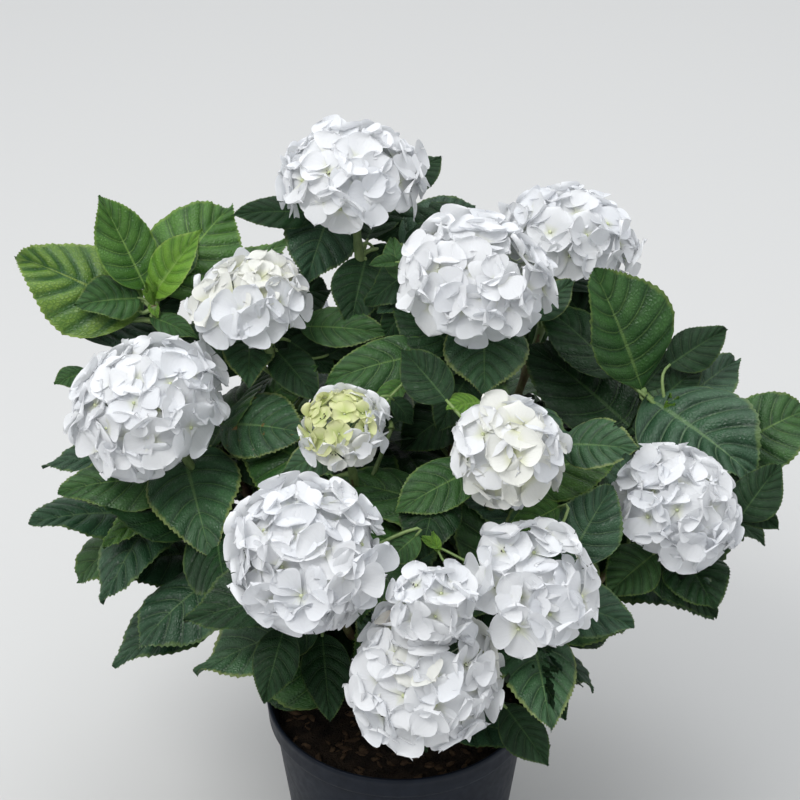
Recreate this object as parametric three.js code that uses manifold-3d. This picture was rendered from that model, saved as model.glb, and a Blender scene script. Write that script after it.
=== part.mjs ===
// White mophead hydrangea growing in a plain round plastic pot.
// Millimetres, +Z up. The origin is the middle of the pot's flat underside, the shrub's fuller, lower front faces -Y,
// and +X is to the right of someone who looks at that front.
//
// The shrub is a stool of woody stems. Each stem arches out to one shoot, which ends in a flat-topped ball of flower
// or, on two shoots, only in leaves. Every flower head, every layer of leaves under it and every stem is one closed solid.
import * as THREE from "three";
import { mergeVertices } from "three/addons/utils/BufferGeometryUtils.js";
import Module from "manifold-3d";

const wasm = await Module();
wasm.setup();

// ---------------------------------------------------------------- driving dimensions
const GAP = 0.3; // clearance between touching pieces
const GROW = 0.8; // radial growth of an uneven ball before it cuts a neighbour, so that its flattest flank keeps GAP

const POT_HEIGHT = 215;
const POT_RIM_RADIUS = 119;
const POT_RIM_BAND = 21; // height of the thicker band at the rim
const POT_SHOULDER_RADIUS = 113; // wall just under the band
const POT_FOOT_RADIUS = 90;
const POT_WALL = 2.8;
const POT_FLOOR = 3.2;
const POT_SIDES = 30;
const SOIL_TOP = 184;
const SOIL_MOUND = 5; // rise of the soil towards the stool

const STOOL_RADIUS = 32; // woody crown that all stems leave
const STOOL_HEIGHT = 34;

const STEM_FOOT_RADIUS = 4.6;
const STEM_TIP_RADIUS = 2.7;
const STEM_SIDES = 5;
const STEM_STEPS = 6;
const STEM_RING = [10, 25]; // radii of the two rings of stem feet on the stool

const DOME_CENTRE = [0, 20, 300]; // the ellipsoid that the flower heads follow
const DOME_RADII = [330, 300, 380];
const UPWARD = 0.9; // how much a head turns up towards the light, against facing straight out of the dome

const HEAD_FLATNESS = 0.8; // height of a head over its width
const LEAF_REACH = 44; // how far the leaves stand out past the head that they carry
const LAYER_HALF_DEPTH = 37; // half the depth of a layer of leaves
const LAYER_DROP = 22; // the layer's middle, below the head's underside

// Flower heads: turn about +Z from +X and rise above the horizon, in degrees on the dome, out as a share of its radii,
// and the head's width. leaves is how much of a layer of leaves it carries. Its stem leaves ring 0 or 1 of the stool at
// the side given by foot, in degrees, and starts up with lean as its rise over its run. Head 11 has none of these: it is
// a small side head on a twig of the stem of head 12.
const HEADS = [
  { name: "01", turn: 108.2, rise: 68.2, out: 1.036, width: 132, leaves: 1, ring: 0, foot: 93, lean: 2.6 },
  { name: "02", turn: -0.2, rise: 77.9, out: 0.898, width: 134, leaves: 1, ring: 0, foot: 25, lean: 3.8 },
  { name: "03", turn: 48.3, rise: 47.8, out: 0.997, width: 124, leaves: 0.92, ring: 1, foot: 47, lean: 2.6 },
  { name: "04", turn: 160.5, rise: 62.5, out: 0.852, width: 108, leaves: 0.95, ring: 0, foot: 156, lean: 2.6 },
  { name: "05", turn: -173.8, rise: 42.7, out: 0.856, width: 140, leaves: 1, ring: 1, foot: 178, lean: 1.3 },
  { name: "06", turn: -111.8, rise: 61.9, out: 0.767, width: 78, leaves: 1.1, ring: 0, foot: -121, lean: 3.8 },
  { name: "07", turn: -61.1, rise: 52.2, out: 0.871, width: 100, leaves: 1.05, ring: 1, foot: -56, lean: 1.8 },
  { name: "08", turn: -105.3, rise: 37.8, out: 0.942, width: 134, leaves: 1, ring: 1, foot: -103, lean: 1.3 },
  { name: "09", turn: -67.3, rise: 33.0, out: 0.928, width: 110, leaves: 0.95, ring: 0, foot: -33, lean: 1.3 },
  { name: "10", turn: -31.2, rise: 33.2, out: 0.925, width: 106, leaves: 1.1, ring: 1, foot: -26, lean: 0.9 },
  { name: "11", turn: -85.5, rise: 31.9, out: 1.02, width: 64, upward: 0.1, leaves: 0 },
  { name: "12", turn: -86.2, rise: 20.4, out: 0.911, width: 122, leaves: 0.72, ring: 1, foot: -79, lean: 0.9 },
  { name: "13", turn: 114.3, rise: 21.5, out: 0.965, width: 116, leaves: 1, ring: 1, foot: 117, lean: 0.9 },
  { name: "14", turn: 82.2, rise: 19.7, out: 0.94, width: 132, leaves: 1, ring: 1, foot: 92, lean: 0.9 },
  { name: "15", turn: 53.1, rise: 16.8, out: 1.0, width: 120, leaves: 1, ring: 1, foot: 71, lean: 0.9 },
  { name: "16", turn: 148.7, rise: 22.3, out: 0.9, width: 112, leaves: 1, ring: 1, foot: -154, lean: 0.9 },
  { name: "17", turn: 26.6, rise: 10.0, out: 0.98, width: 108, leaves: 1.2, ring: 1, foot: 26, lean: 0.9 },
];

// Shoots that carry only leaves: where their leaves are centred, and the half sizes of that mass.
const LEAFY_SHOOTS = [
  { name: "left_shoot", at: [-208, 98, 556], half: [114, 104, 62], ring: 1, foot: 149, lean: 1.3 },
  { name: "right_shoot", at: [222, 26, 492], half: [122, 106, 78], ring: 1, foot: 0, lean: 1.3 },
];

// Leaves lower down the stems that pass through or by them: two masses round the pot's rim, and two that close the
// far side of the crown between its high and its low heads.
const LOWER_LEAVES = [
  { name: "rim_left", at: [-112, -142, 350], half: [82, 66, 56] },
  { name: "rim_right", at: [146, -132, 352], half: [86, 68, 54] },
  { name: "back_left", at: [-132, 214, 512], half: [98, 78, 58] },
  { name: "back_right", at: [112, 244, 500], half: [104, 72, 58] },
];

// ---------------------------------------------------------------- helpers
function seeded(seed) {
  let state = seed >>> 0;
  return () => {
    state = (state + 0x6d2b79f5) >>> 0;
    let t = state;
    t = Math.imul(t ^ (t >>> 15), t | 1);
    t ^= t + Math.imul(t ^ (t >>> 7), t | 61);
    return ((t ^ (t >>> 14)) >>> 0) / 4294967296;
  };
}

function closed(geometry) {
  geometry.deleteAttribute("normal");
  geometry.deleteAttribute("uv");
  return mergeVertices(geometry, 1e-3);
}

function toSolid(geometry) {
  return new wasm.Manifold(
    new wasm.Mesh({
      numProp: 3,
      vertProperties: new Float32Array(geometry.attributes.position.array),
      triVerts: new Uint32Array(geometry.index.array),
    }),
  );
}

function toGeometry(solid) {
  const mesh = solid.getMesh();
  const geometry = new THREE.BufferGeometry();
  geometry.setAttribute(
    "position",
    new THREE.BufferAttribute(new Float32Array(mesh.vertProperties), 3),
  );
  geometry.setIndex(new THREE.BufferAttribute(new Uint32Array(mesh.triVerts), 1));
  return geometry;
}

// The largest piece that a cut leaves.
function largest(solid) {
  const pieces = solid.decompose();
  return pieces.reduce((a, b) => (b.volume() > a.volume() ? b : a));
}

// Turns a round profile [radius, height] about +Z.
function turned(profile, sides) {
  const lathe = new THREE.LatheGeometry(
    profile.map(([r, z]) => new THREE.Vector2(r, z)),
    sides,
  );
  lathe.rotateX(Math.PI / 2);
  return closed(lathe);
}

// A closed ball with the given half sizes, uneven by a few broad lobes. Its own +Z points along axis.
function unevenBall({ ball, at, half, axis, seed, lobes, depth, grow = 0, under = 1 }) {
  const geometry = closed(ball);
  const random = seeded(seed);
  const waves = Array.from({ length: lobes }, () => ({
    way: new THREE.Vector3(random() - 0.5, random() - 0.5, random() - 0.5).normalize(),
    pitch: 2.2 + 2.6 * random(),
    phase: 2 * Math.PI * random(),
  }));
  const turn = new THREE.Quaternion().setFromUnitVectors(
    new THREE.Vector3(0, 0, 1),
    axis.clone().normalize(),
  );
  const p = geometry.attributes.position;
  const v = new THREE.Vector3();
  for (let i = 0; i < p.count; i++) {
    v.fromBufferAttribute(p, i).normalize();
    let swell = 1;
    for (const w of waves) swell += (depth / lobes) * Math.sin(w.pitch * v.dot(w.way) * Math.PI + w.phase);
    v.multiplyScalar(swell);
    if (v.z < 0) v.z *= under;
    v.set(v.x * half[0], v.y * half[1], v.z * half[2]);
    v.multiplyScalar(1 + grow / v.length());
    v.applyQuaternion(turn).add(at);
    p.setXYZ(i, v.x, v.y, v.z);
  }
  return geometry;
}

// One tapering limb along a curve.
function limb(curve, footRadius, tipRadius, grow = 0) {
  const geometry = closed(new THREE.CylinderGeometry(1, 1, 1, STEM_SIDES, STEM_STEPS));
  const frames = curve.computeFrenetFrames(STEM_STEPS, false);
  const p = geometry.attributes.position;
  for (let i = 0; i < p.count; i++) {
    const along = p.getY(i) + 0.5;
    const k = Math.round(along * STEM_STEPS);
    const radius = THREE.MathUtils.lerp(footRadius, tipRadius, along) + grow;
    // x across the binormal and z across the normal keep the faces pointing out
    const at = curve
      .getPointAt(along)
      .addScaledVector(frames.binormals[k], p.getX(i) * radius)
      .addScaledVector(frames.normals[k], p.getZ(i) * radius);
    p.setXYZ(i, at.x, at.y, at.z);
  }
  const solid = toSolid(geometry);
  if (solid.volume() > 0) return geometry;
  const index = geometry.index.array;
  for (let i = 0; i < index.length; i += 3) [index[i + 1], index[i + 2]] = [index[i + 2], index[i + 1]];
  return geometry;
}

// ---------------------------------------------------------------- materials
const potPlastic = () => new THREE.MeshStandardMaterial({ color: 0x1c2430, roughness: 0.55, metalness: 0 });
const compost = () => new THREE.MeshStandardMaterial({ color: 0x2a1f18, roughness: 1, metalness: 0 });
const wood = () => new THREE.MeshStandardMaterial({ color: 0x7a6248, roughness: 0.85, metalness: 0 });
const leafGreen = () => new THREE.MeshStandardMaterial({ color: 0x2f5a34, roughness: 0.55, metalness: 0 });
const youngLeafGreen = () => new THREE.MeshStandardMaterial({ color: 0x6f9a34, roughness: 0.55, metalness: 0 });
const petalWhite = () => new THREE.MeshStandardMaterial({ color: 0xf2f4f6, roughness: 0.6, metalness: 0 });

const plant = new THREE.Group();
function place(name, geometry, material) {
  const mesh = new THREE.Mesh(geometry, material);
  mesh.name = name;
  plant.add(mesh);
}

// ---------------------------------------------------------------- pot and soil
const wallAt = (z) =>
  THREE.MathUtils.lerp(POT_FOOT_RADIUS, POT_SHOULDER_RADIUS, z / (POT_HEIGHT - POT_RIM_BAND)) - POT_WALL;

place(
  "pot",
  turned(
    [
      [0, 0],
      [POT_FOOT_RADIUS - 2, 0],
      [POT_FOOT_RADIUS, 2.5],
      [POT_SHOULDER_RADIUS, POT_HEIGHT - POT_RIM_BAND],
      [POT_RIM_RADIUS - 1, POT_HEIGHT - POT_RIM_BAND],
      [POT_RIM_RADIUS, POT_HEIGHT - 2],
      [POT_RIM_RADIUS - 1.5, POT_HEIGHT],
      [POT_RIM_RADIUS - 4.5, POT_HEIGHT],
      [wallAt(POT_HEIGHT - POT_RIM_BAND - 3), POT_HEIGHT - POT_RIM_BAND - 3],
      [wallAt(POT_FLOOR), POT_FLOOR],
      [0, POT_FLOOR],
    ],
    POT_SIDES,
  ),
  potPlastic(),
);

place(
  "potting_soil",
  turned(
    [
      [0, POT_FLOOR + GAP],
      [wallAt(POT_FLOOR + GAP) - GAP, POT_FLOOR + GAP],
      [wallAt(SOIL_TOP) - GAP, SOIL_TOP],
      [40, SOIL_TOP + SOIL_MOUND],
      [0, SOIL_TOP + SOIL_MOUND],
    ],
    POT_SIDES,
  ),
  compost(),
);

// ---------------------------------------------------------------- the stool
const STOOL_FOOT = SOIL_TOP + SOIL_MOUND + GAP;
const STOOL_TOP = STOOL_FOOT + STOOL_HEIGHT;
function stool(grow) {
  const r = STOOL_RADIUS + grow;
  return turned(
    [
      [0, STOOL_FOOT],
      [r, STOOL_FOOT],
      [r * 0.94, STOOL_FOOT + 12],
      [r * 0.97, STOOL_TOP - 10],
      [r * 0.72, STOOL_TOP + grow],
      [0, STOOL_TOP + 3 + grow],
    ],
    10,
  );
}
place("stem_crown", stool(0), wood());
const stoolCut = toSolid(stool(2 * GAP));

// ---------------------------------------------------------------- flower heads
const rad = THREE.MathUtils.degToRad;
const domeCentre = new THREE.Vector3(...DOME_CENTRE);

for (const head of HEADS) {
  const way = new THREE.Vector3(
    Math.cos(rad(head.rise)) * Math.cos(rad(head.turn)),
    Math.cos(rad(head.rise)) * Math.sin(rad(head.turn)),
    Math.sin(rad(head.rise)),
  );
  head.at = new THREE.Vector3(...DOME_RADII).multiply(way).multiplyScalar(head.out).add(domeCentre);
  head.axis = new THREE.Vector3(way.x / DOME_RADII[0], way.y / DOME_RADII[1], way.z / DOME_RADII[2])
    .normalize()
    .add(new THREE.Vector3(0, 0, head.upward ?? UPWARD))
    .normalize();
  head.halfHeight = 0.5 * head.width * HEAD_FLATNESS;
}

const headBall = (head, grow) =>
  unevenBall({
    ball: new THREE.OctahedronGeometry(1, 3),
    at: head.at,
    half: [0.5 * head.width, 0.5 * head.width, head.halfHeight],
    axis: head.axis,
    seed: 100 + Number(head.name),
    lobes: 4,
    depth: 0.16,
    grow,
    under: 0.8,
  });

const headCuts = []; // every head, grown by the gap
HEADS.forEach((head) => {
  let solid = toSolid(headBall(head, 0));
  for (const cut of headCuts) solid = solid.subtract(cut);
  place("flower_head_" + head.name, toGeometry(largest(solid)), petalWhite());
  headCuts.push(toSolid(headBall(head, GROW)));
});

// ---------------------------------------------------------------- where each mass of leaves is
const MASSES = [
  ...HEADS.filter((head) => head.leaves > 0).map((head) => {
    const reach = 0.5 * head.width + LEAF_REACH * head.leaves;
    return {
      name: "foliage_" + head.name,
      at: head.at.clone().addScaledVector(head.axis, -(0.7 * head.halfHeight + LAYER_DROP)),
      half: [reach, reach, LAYER_HALF_DEPTH],
      axis: head.axis,
      head,
      seed: 300 + Number(head.name),
    };
  }),
  ...[...LEAFY_SHOOTS, ...LOWER_LEAVES].map((mass, i) => ({
    name: "foliage_" + mass.name,
    at: new THREE.Vector3(...mass.at),
    half: mass.half,
    axis: new THREE.Vector3(mass.at[0] / 900, mass.at[1] / 900, 1),
    young: mass.name === "left_shoot",
    seed: 400 + i,
  })),
];
const massBall = (mass, grow) =>
  unevenBall({
    ball: new THREE.IcosahedronGeometry(1, 1),
    at: mass.at,
    half: mass.half,
    axis: mass.axis,
    seed: mass.seed,
    lobes: 5,
    depth: 0.34,
    grow,
  });
for (const mass of MASSES) mass.cut = toSolid(massBall(mass, GROW));

// ---------------------------------------------------------------- stems
// One stem for each shoot but the side head, from its own place on the stool to the middle of the shoot.
const SHOOTS = [
  ...HEADS.filter((head) => head.lean).map((head) => ({
    name: "stem_" + head.name,
    tip: head.at.clone().addScaledVector(head.axis, -0.6 * head.halfHeight),
    axis: head.axis,
    from: head,
    mass: MASSES.find((m) => m.head === head),
  })),
  ...LEAFY_SHOOTS.map((shoot) => {
    const mass = MASSES.find((m) => m.name === "foliage_" + shoot.name);
    return {
      name: "stem_" + shoot.name,
      tip: new THREE.Vector3(...shoot.at),
      axis: mass.axis.clone().normalize(),
      from: shoot,
      mass,
    };
  }),
];
for (const shoot of SHOOTS) {
  const { ring, foot, lean } = shoot.from;
  const side = new THREE.Vector3(Math.cos(rad(foot)), Math.sin(rad(foot)), 0);
  shoot.foot = side.clone().multiplyScalar(STEM_RING[ring]).setZ(STOOL_TOP - 12);
  shoot.lean = side.setZ(lean).normalize();
}
for (const shoot of SHOOTS) {
  const length = shoot.foot.distanceTo(shoot.tip);
  shoot.curve = new THREE.CubicBezierCurve3(
    shoot.foot,
    shoot.foot.clone().addScaledVector(shoot.lean, 0.36 * length),
    shoot.tip.clone().addScaledVector(shoot.axis, -0.34 * length),
    shoot.tip,
  );
  const thick = 0.86 + 0.28 * Math.min(1, length / 420);
  shoot.radii = [STEM_FOOT_RADIUS * thick, STEM_TIP_RADIUS * thick];
  shoot.solid = toSolid(limb(shoot.curve, ...shoot.radii));
  shoot.cut = toSolid(limb(shoot.curve, shoot.radii[0], shoot.radii[1], 1.2 * GAP));
}

// A stem ends where it enters its own mass of leaves.
for (const shoot of SHOOTS) {
  let solid = shoot.solid.subtract(stoolCut);
  for (const cut of headCuts) solid = solid.subtract(cut);
  solid = solid.subtract(shoot.mass.cut);
  const pieces = solid.decompose();
  solid = pieces.reduce((a, b) => (b.boundingBox().min[2] < a.boundingBox().min[2] ? b : a));
  place(shoot.name, toGeometry(solid), wood());
}

// ---------------------------------------------------------------- masses of leaves
// Two masses that would run into each other meet at a flat face between them. Each is cut round the heads above it and
// round the stems that pass through it.
const HALF_SPACE = 600;
function beyond(point, way) {
  const block = closed(new THREE.BoxGeometry(HALF_SPACE, HALF_SPACE, HALF_SPACE));
  block.applyQuaternion(new THREE.Quaternion().setFromUnitVectors(new THREE.Vector3(0, 0, 1), way));
  const middle = point.clone().addScaledVector(way, HALF_SPACE / 2);
  block.translate(middle.x, middle.y, middle.z);
  return toSolid(block);
}
function extent(mass, way) {
  const turn = new THREE.Quaternion().setFromUnitVectors(
    mass.axis.clone().normalize(),
    new THREE.Vector3(0, 0, 1),
  );
  return way.clone().applyQuaternion(turn).multiply(new THREE.Vector3(...mass.half)).length();
}
for (const mass of MASSES) mass.solid = toSolid(massBall(mass, 0));
const whole = MASSES.map((mass) => mass.solid);
MASSES.forEach((mass, i) => {
  MASSES.forEach((other, j) => {
    if (i === j || whole[i].intersect(whole[j]).volume() <= 0) return;
    const way = other.at.clone().sub(mass.at);
    const apart = way.length();
    way.normalize();
    const share = extent(mass, way) / (extent(mass, way) + extent(other, way));
    const face = mass.at.clone().addScaledVector(way, apart * share - GAP / 2);
    mass.solid = mass.solid.subtract(beyond(face, way));
  });
  let solid = mass.solid;
  for (const cut of headCuts) solid = solid.subtract(cut);
  for (const shoot of SHOOTS) if (shoot.mass !== mass) solid = solid.subtract(shoot.cut);
  place(mass.name, toGeometry(largest(solid)), mass.young ? youngLeafGreen() : leafGreen());
});

export default plant;
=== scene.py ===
"""White mophead hydrangea in a plain plastic pot: the looks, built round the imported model.

Shapes are worked out in millimetres in the model's frame and scaled to metres as each mesh is made.
"""
import math

import bpy
import numpy as np
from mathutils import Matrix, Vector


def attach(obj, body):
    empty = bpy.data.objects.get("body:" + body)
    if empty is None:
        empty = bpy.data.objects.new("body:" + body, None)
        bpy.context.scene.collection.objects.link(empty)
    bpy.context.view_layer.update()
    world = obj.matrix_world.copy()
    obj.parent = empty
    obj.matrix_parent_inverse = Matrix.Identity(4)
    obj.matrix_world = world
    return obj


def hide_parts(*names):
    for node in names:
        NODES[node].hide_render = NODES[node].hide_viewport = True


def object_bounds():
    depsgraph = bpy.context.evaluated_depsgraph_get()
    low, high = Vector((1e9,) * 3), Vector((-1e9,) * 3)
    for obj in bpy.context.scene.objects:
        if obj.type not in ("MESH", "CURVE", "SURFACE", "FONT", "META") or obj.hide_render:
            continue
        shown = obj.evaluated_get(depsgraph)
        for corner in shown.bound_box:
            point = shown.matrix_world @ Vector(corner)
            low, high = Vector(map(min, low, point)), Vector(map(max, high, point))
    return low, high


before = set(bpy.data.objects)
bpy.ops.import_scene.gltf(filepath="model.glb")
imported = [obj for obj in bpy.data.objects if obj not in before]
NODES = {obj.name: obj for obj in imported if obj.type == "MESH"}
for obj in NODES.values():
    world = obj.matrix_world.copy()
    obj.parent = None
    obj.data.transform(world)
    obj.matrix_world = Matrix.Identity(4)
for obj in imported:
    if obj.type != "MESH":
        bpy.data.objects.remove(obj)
CAD_BOX = [list(v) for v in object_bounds()]

MM = 0.001
Z = np.array([0.0, 0.0, 1.0])


def unit(v):
    v = np.asarray(v, float)
    return v / (np.linalg.norm(v, axis=-1, keepdims=True) + 1e-12)


# ---------------------------------------------------------------- camera
EYE = np.array([0.0, -1502.0, 1538.0])
AHEAD = unit([0.0, 0.829, -0.559])
UP = unit([0.0, 0.559, 0.829])
PIXEL = 0.00045  # of the depth


def on_ray(px, py, depth):
    return EYE + depth * (AHEAD + (px - 400) * PIXEL * np.array([1.0, 0, 0]) + (400 - py) * PIXEL * UP)


def seen(points):
    d = np.asarray(points, float) - EYE
    t = d @ AHEAD
    return 400 + d[..., 0] / t / PIXEL, 400 - (d @ UP) / t / PIXEL, t


# ---------------------------------------------------------------- the shrub's frame, as in the solid model
POT_HEIGHT, POT_RIM, POT_BAND, POT_SHOULDER, POT_FOOT, POT_WALL = 215.0, 119.0, 21.0, 113.0, 90.0, 2.8
SOIL_TOP, SOIL_MOUND = 184.0, 5.0
STOOL_FOOT, STOOL_HEIGHT, STOOL_RADIUS = 189.3, 34.0, 32.0
STOOL_TOP = STOOL_FOOT + STOOL_HEIGHT
STEM_FOOT, STEM_TIP, STEM_RING = 4.6, 2.7, (10.0, 25.0)
DOME_CENTRE = np.array([0.0, 20.0, 300.0])
DOME_RADII = np.array([330.0, 300.0, 380.0])
UPWARD, FLATNESS = 0.9, 0.8

# name, turn, rise, out, width, ring, foot, lean
HEADS = [
    ("01", 108.2, 68.2, 1.036, 132, 0, 93, 2.6),
    ("02", -0.2, 77.9, 0.898, 134, 0, 25, 3.8),
    ("03", 48.3, 47.8, 0.997, 124, 1, 47, 2.6),
    ("04", 160.5, 62.5, 0.852, 108, 0, 156, 2.6),
    ("05", -173.8, 42.7, 0.856, 140, 1, 178, 1.3),
    ("06", -111.8, 61.9, 0.767, 78, 0, -121, 3.8),
    ("07", -61.1, 52.2, 0.871, 100, 1, -56, 1.8),
    ("08", -105.3, 37.8, 0.942, 134, 1, -103, 1.3),
    ("09", -67.3, 33.0, 0.928, 110, 0, -33, 1.3),
    ("10", -31.2, 33.2, 0.925, 106, 1, -26, 0.9),
    ("11", -85.5, 31.9, 1.02, 64, None, None, None),
    ("12", -86.2, 20.4, 0.911, 122, 1, -79, 0.9),
    ("13", 114.3, 21.5, 0.965, 116, 1, 117, 0.9),
    ("14", 82.2, 19.7, 0.94, 132, 1, 92, 0.9),
    ("15", 53.1, 16.8, 1.0, 120, 1, 71, 0.9),
    ("16", 148.7, 22.3, 0.9, 112, 1, -154, 0.9),
    ("17", 26.6, 10.0, 0.98, 108, 1, 26, 0.9),
]
LEAFY = [("left_shoot", (-208.0, 98.0, 556.0), 1, 149, 1.3), ("right_shoot", (222.0, 26.0, 492.0), 1, 0, 1.3)]


class Head:
    pass


def bezier(p, s):
    s = np.asarray(s, float)[:, None]
    return (1 - s) ** 3 * p[0] + 3 * s * (1 - s) ** 2 * p[1] + 3 * s**2 * (1 - s) * p[2] + s**3 * p[3]


heads, stems = {}, {}


def grow_stem(name, tip, axis, ring, foot, lean):
    side = np.array([math.cos(math.radians(foot)), math.sin(math.radians(foot)), 0.0])
    start = side * STEM_RING[ring] + Z * (STOOL_TOP - 12)
    leaning = unit(side + Z * lean)
    length = np.linalg.norm(start - tip)
    curve = bezier([start, start + leaning * 0.36 * length, tip - axis * 0.34 * length, tip], np.linspace(0, 1, 161))
    thick = 0.86 + 0.28 * min(1, length / 420)
    step = np.linalg.norm(np.diff(curve, axis=0), axis=1)
    stem = Head()
    stem.name, stem.line, stem.axis = name, curve, axis
    stem.run = np.concatenate([[0], np.cumsum(step)])  # from the foot, along the stem
    stem.radius = (STEM_FOOT + (STEM_TIP - STEM_FOOT) * stem.run / stem.run[-1]) * thick
    stem.nodes = []  # runs at which leaves stand
    stems[name] = stem
    return stem


for name, turn, rise, out, width, ring, foot, lean in HEADS:
    a, b = math.radians(turn), math.radians(rise)
    way = np.array([math.cos(b) * math.cos(a), math.cos(b) * math.sin(a), math.sin(b)])
    h = Head()
    h.name, h.width = name, width
    h.at = DOME_CENTRE + DOME_RADII * way * out
    h.axis = unit(unit(way / DOME_RADII) + Z * (0.1 if name == "11" else UPWARD))
    h.half = 0.5 * width * FLATNESS
    h.tip = h.at - h.axis * 0.6 * h.half
    heads[name] = h
    if ring is not None:
        h.stem = grow_stem(name, h.tip, h.axis, ring, foot, lean)
for name, at, ring, foot, lean in LEAFY:
    at = np.array(at)
    grow_stem(name, at, unit(at / 900 * [1, 1, 0] + Z), ring, foot, lean)
heads["11"].stem = stems["12"]


def at_run(stem, run):
    """Where a stem is at a distance along it, which way it goes there, and how thick it is."""
    run = float(np.clip(run, 0, stem.run[-1] - 0.5))
    p = np.array([np.interp(run, stem.run, stem.line[:, k]) for k in range(3)])
    q = np.array([np.interp(run + 0.5, stem.run, stem.line[:, k]) for k in range(3)])
    return p, unit(q - p), float(np.interp(run, stem.run, stem.radius))


# ---------------------------------------------------------------- meshes
class Pile:
    """Many small sheets and tubes that become one mesh, each with its own cell of the maps."""

    def __init__(self):
        self.v, self.q, self.t, self.qm, self.tm, self.uv, self.bake = [], [], [], [], [], [], []
        self.n = 0

    def add(self, verts, quads, material=0, uv=None, bake=None, tris=None, tri_material=None):
        verts = np.asarray(verts, float)
        n = len(verts)
        uv = np.zeros((n, 2)) if uv is None else np.asarray(uv, float)
        self.v.append(verts)
        self.uv.append(uv)
        self.bake.append(uv if bake is None else np.asarray(bake, float))
        if quads is not None and len(quads):
            self.q.append(np.asarray(quads) + self.n)
            self.qm.append(np.broadcast_to(material, (len(quads),)).astype(int))
        if tris is not None and len(tris):
            self.t.append(np.asarray(tris) + self.n)
            self.tm.append(np.broadcast_to(material if tri_material is None else tri_material, (len(tris),)).astype(int))
        self.n += n

    def triangles(self):
        return sum(2 * len(q) for q in self.q) + sum(len(t) for t in self.t)

    def mesh(self, name, materials, smooth=True):
        v = np.concatenate(self.v) * MM
        q = np.concatenate(self.q) if self.q else np.zeros((0, 4), int)
        t = np.concatenate(self.t) if self.t else np.zeros((0, 3), int)
        loops = np.concatenate([q.ravel(), t.ravel()])
        starts = np.concatenate([np.arange(len(q)) * 4, len(q) * 4 + np.arange(len(t)) * 3])
        mats = np.concatenate((self.qm or [np.zeros(0, int)]) + (self.tm or [np.zeros(0, int)]))
        me = bpy.data.meshes.new(name)
        me.vertices.add(len(v))
        me.vertices.foreach_set("co", v.astype(np.float32).ravel())
        me.loops.add(len(loops))
        me.loops.foreach_set("vertex_index", loops.astype(np.int32))
        me.polygons.add(len(starts))
        me.polygons.foreach_set("loop_start", starts.astype(np.int32))
        me.polygons.foreach_set("material_index", mats.astype(np.int32))
        for layer, data in (("Local", self.uv), ("OFBake", self.bake)):
            uv = np.concatenate(data)[loops]
            me.uv_layers.new(name=layer).data.foreach_set("uv", uv.astype(np.float32).ravel())
        me.uv_layers["Local"].active_render = True
        me.update(calc_edges=True)
        me.validate()
        me.polygons.foreach_set("use_smooth", np.full(len(me.polygons), smooth))
        for m in materials:
            me.materials.append(m)
        ob = bpy.data.objects.new(name, me)
        bpy.context.scene.collection.objects.link(ob)
        return ob


def grid_quads(rows, cols, around=False):
    i = np.arange(rows - 1)[:, None]
    j = np.arange(cols if around else cols - 1)[None, :]
    a, b = i * cols + j, i * cols + (j + 1) % cols
    return np.stack([a, b, b + cols, a + cols], -1).reshape(-1, 4)


def frames(line):
    """Directions along a line, and two across it that don't twist."""
    along = unit(np.gradient(line, axis=0))
    side = np.zeros_like(line)
    first = np.cross(along[0], Z if abs(along[0][2]) < 0.9 else np.array([1.0, 0, 0]))
    side[0] = unit(first)
    for i in range(1, len(line)):
        side[i] = unit(side[i - 1] - along[i] * (side[i - 1] @ along[i]))
    return along, side, np.cross(along, side)


def tube(pile, line, radius, sides, material, uv_box=(0, 0, 1, 1), relief=None, closed=True):
    """A round limb along a line. relief(angle, run) gives how far its skin stands out, in mm."""
    line = np.asarray(line, float)
    radius = np.broadcast_to(radius, (len(line),)).astype(float)
    _, side, over = frames(line)
    angle = np.linspace(0, 2 * math.pi, sides, endpoint=False)
    run = np.concatenate([[0], np.cumsum(np.linalg.norm(np.diff(line, axis=0), axis=1))])
    r = radius[:, None] + (relief(angle[None, :], run[:, None]) if relief else 0)
    v = line[:, None] + r[..., None] * (np.cos(angle)[None, :, None] * side[:, None] + np.sin(angle)[None, :, None] * over[:, None])
    rows = len(line)
    u = np.repeat(np.arange(sides)[None, :] / sides, rows, 0)
    w = np.repeat((run / max(run[-1], 1e-6))[:, None], sides, 1)
    x0, y0, x1, y1 = uv_box
    bake = np.stack([x0 + u * (x1 - x0), y0 + w * (y1 - y0)], -1).reshape(-1, 2)
    uv = np.stack([u, w], -1).reshape(-1, 2)
    v = v.reshape(-1, 3)
    tris = None
    if closed:
        last = len(v)
        v = np.concatenate([v, [line[0]], [line[-1]]])
        uv = np.concatenate([uv, [[0.5, 0]], [[0.5, 1]]])
        bake = np.concatenate([bake, [[(x0 + x1) / 2, y0]], [[(x0 + x1) / 2, y1]]])
        j = np.arange(sides)
        k = (j + 1) % sides
        end = (rows - 1) * sides
        tris = np.concatenate([np.stack([np.full(sides, last), k, j], -1), np.stack([np.full(sides, last + 1), end + j, end + k], -1)])
    pile.add(v, grid_quads(rows, sides, around=True), material, uv, bake, tris)


def lobes(seed, count=5, low=1.0, high=3.0):
    """A smooth seeded bumpiness of a direction or a point, about -1 to 1."""
    g = np.random.default_rng(seed)
    ways, pitch, phase = unit(g.normal(size=(count, 3))), g.uniform(low, high, count), g.uniform(0, 2 * math.pi, count)
    return lambda p: np.sin((np.asarray(p) @ ways.T) * pitch + phase).sum(-1) / math.sqrt(count)


# ---------------------------------------------------------------- materials
def new_material(name):
    m = bpy.data.materials.new(name)
    m.use_nodes = True
    nt = m.node_tree
    return m, nt, nt.nodes["Principled BSDF"]


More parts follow.
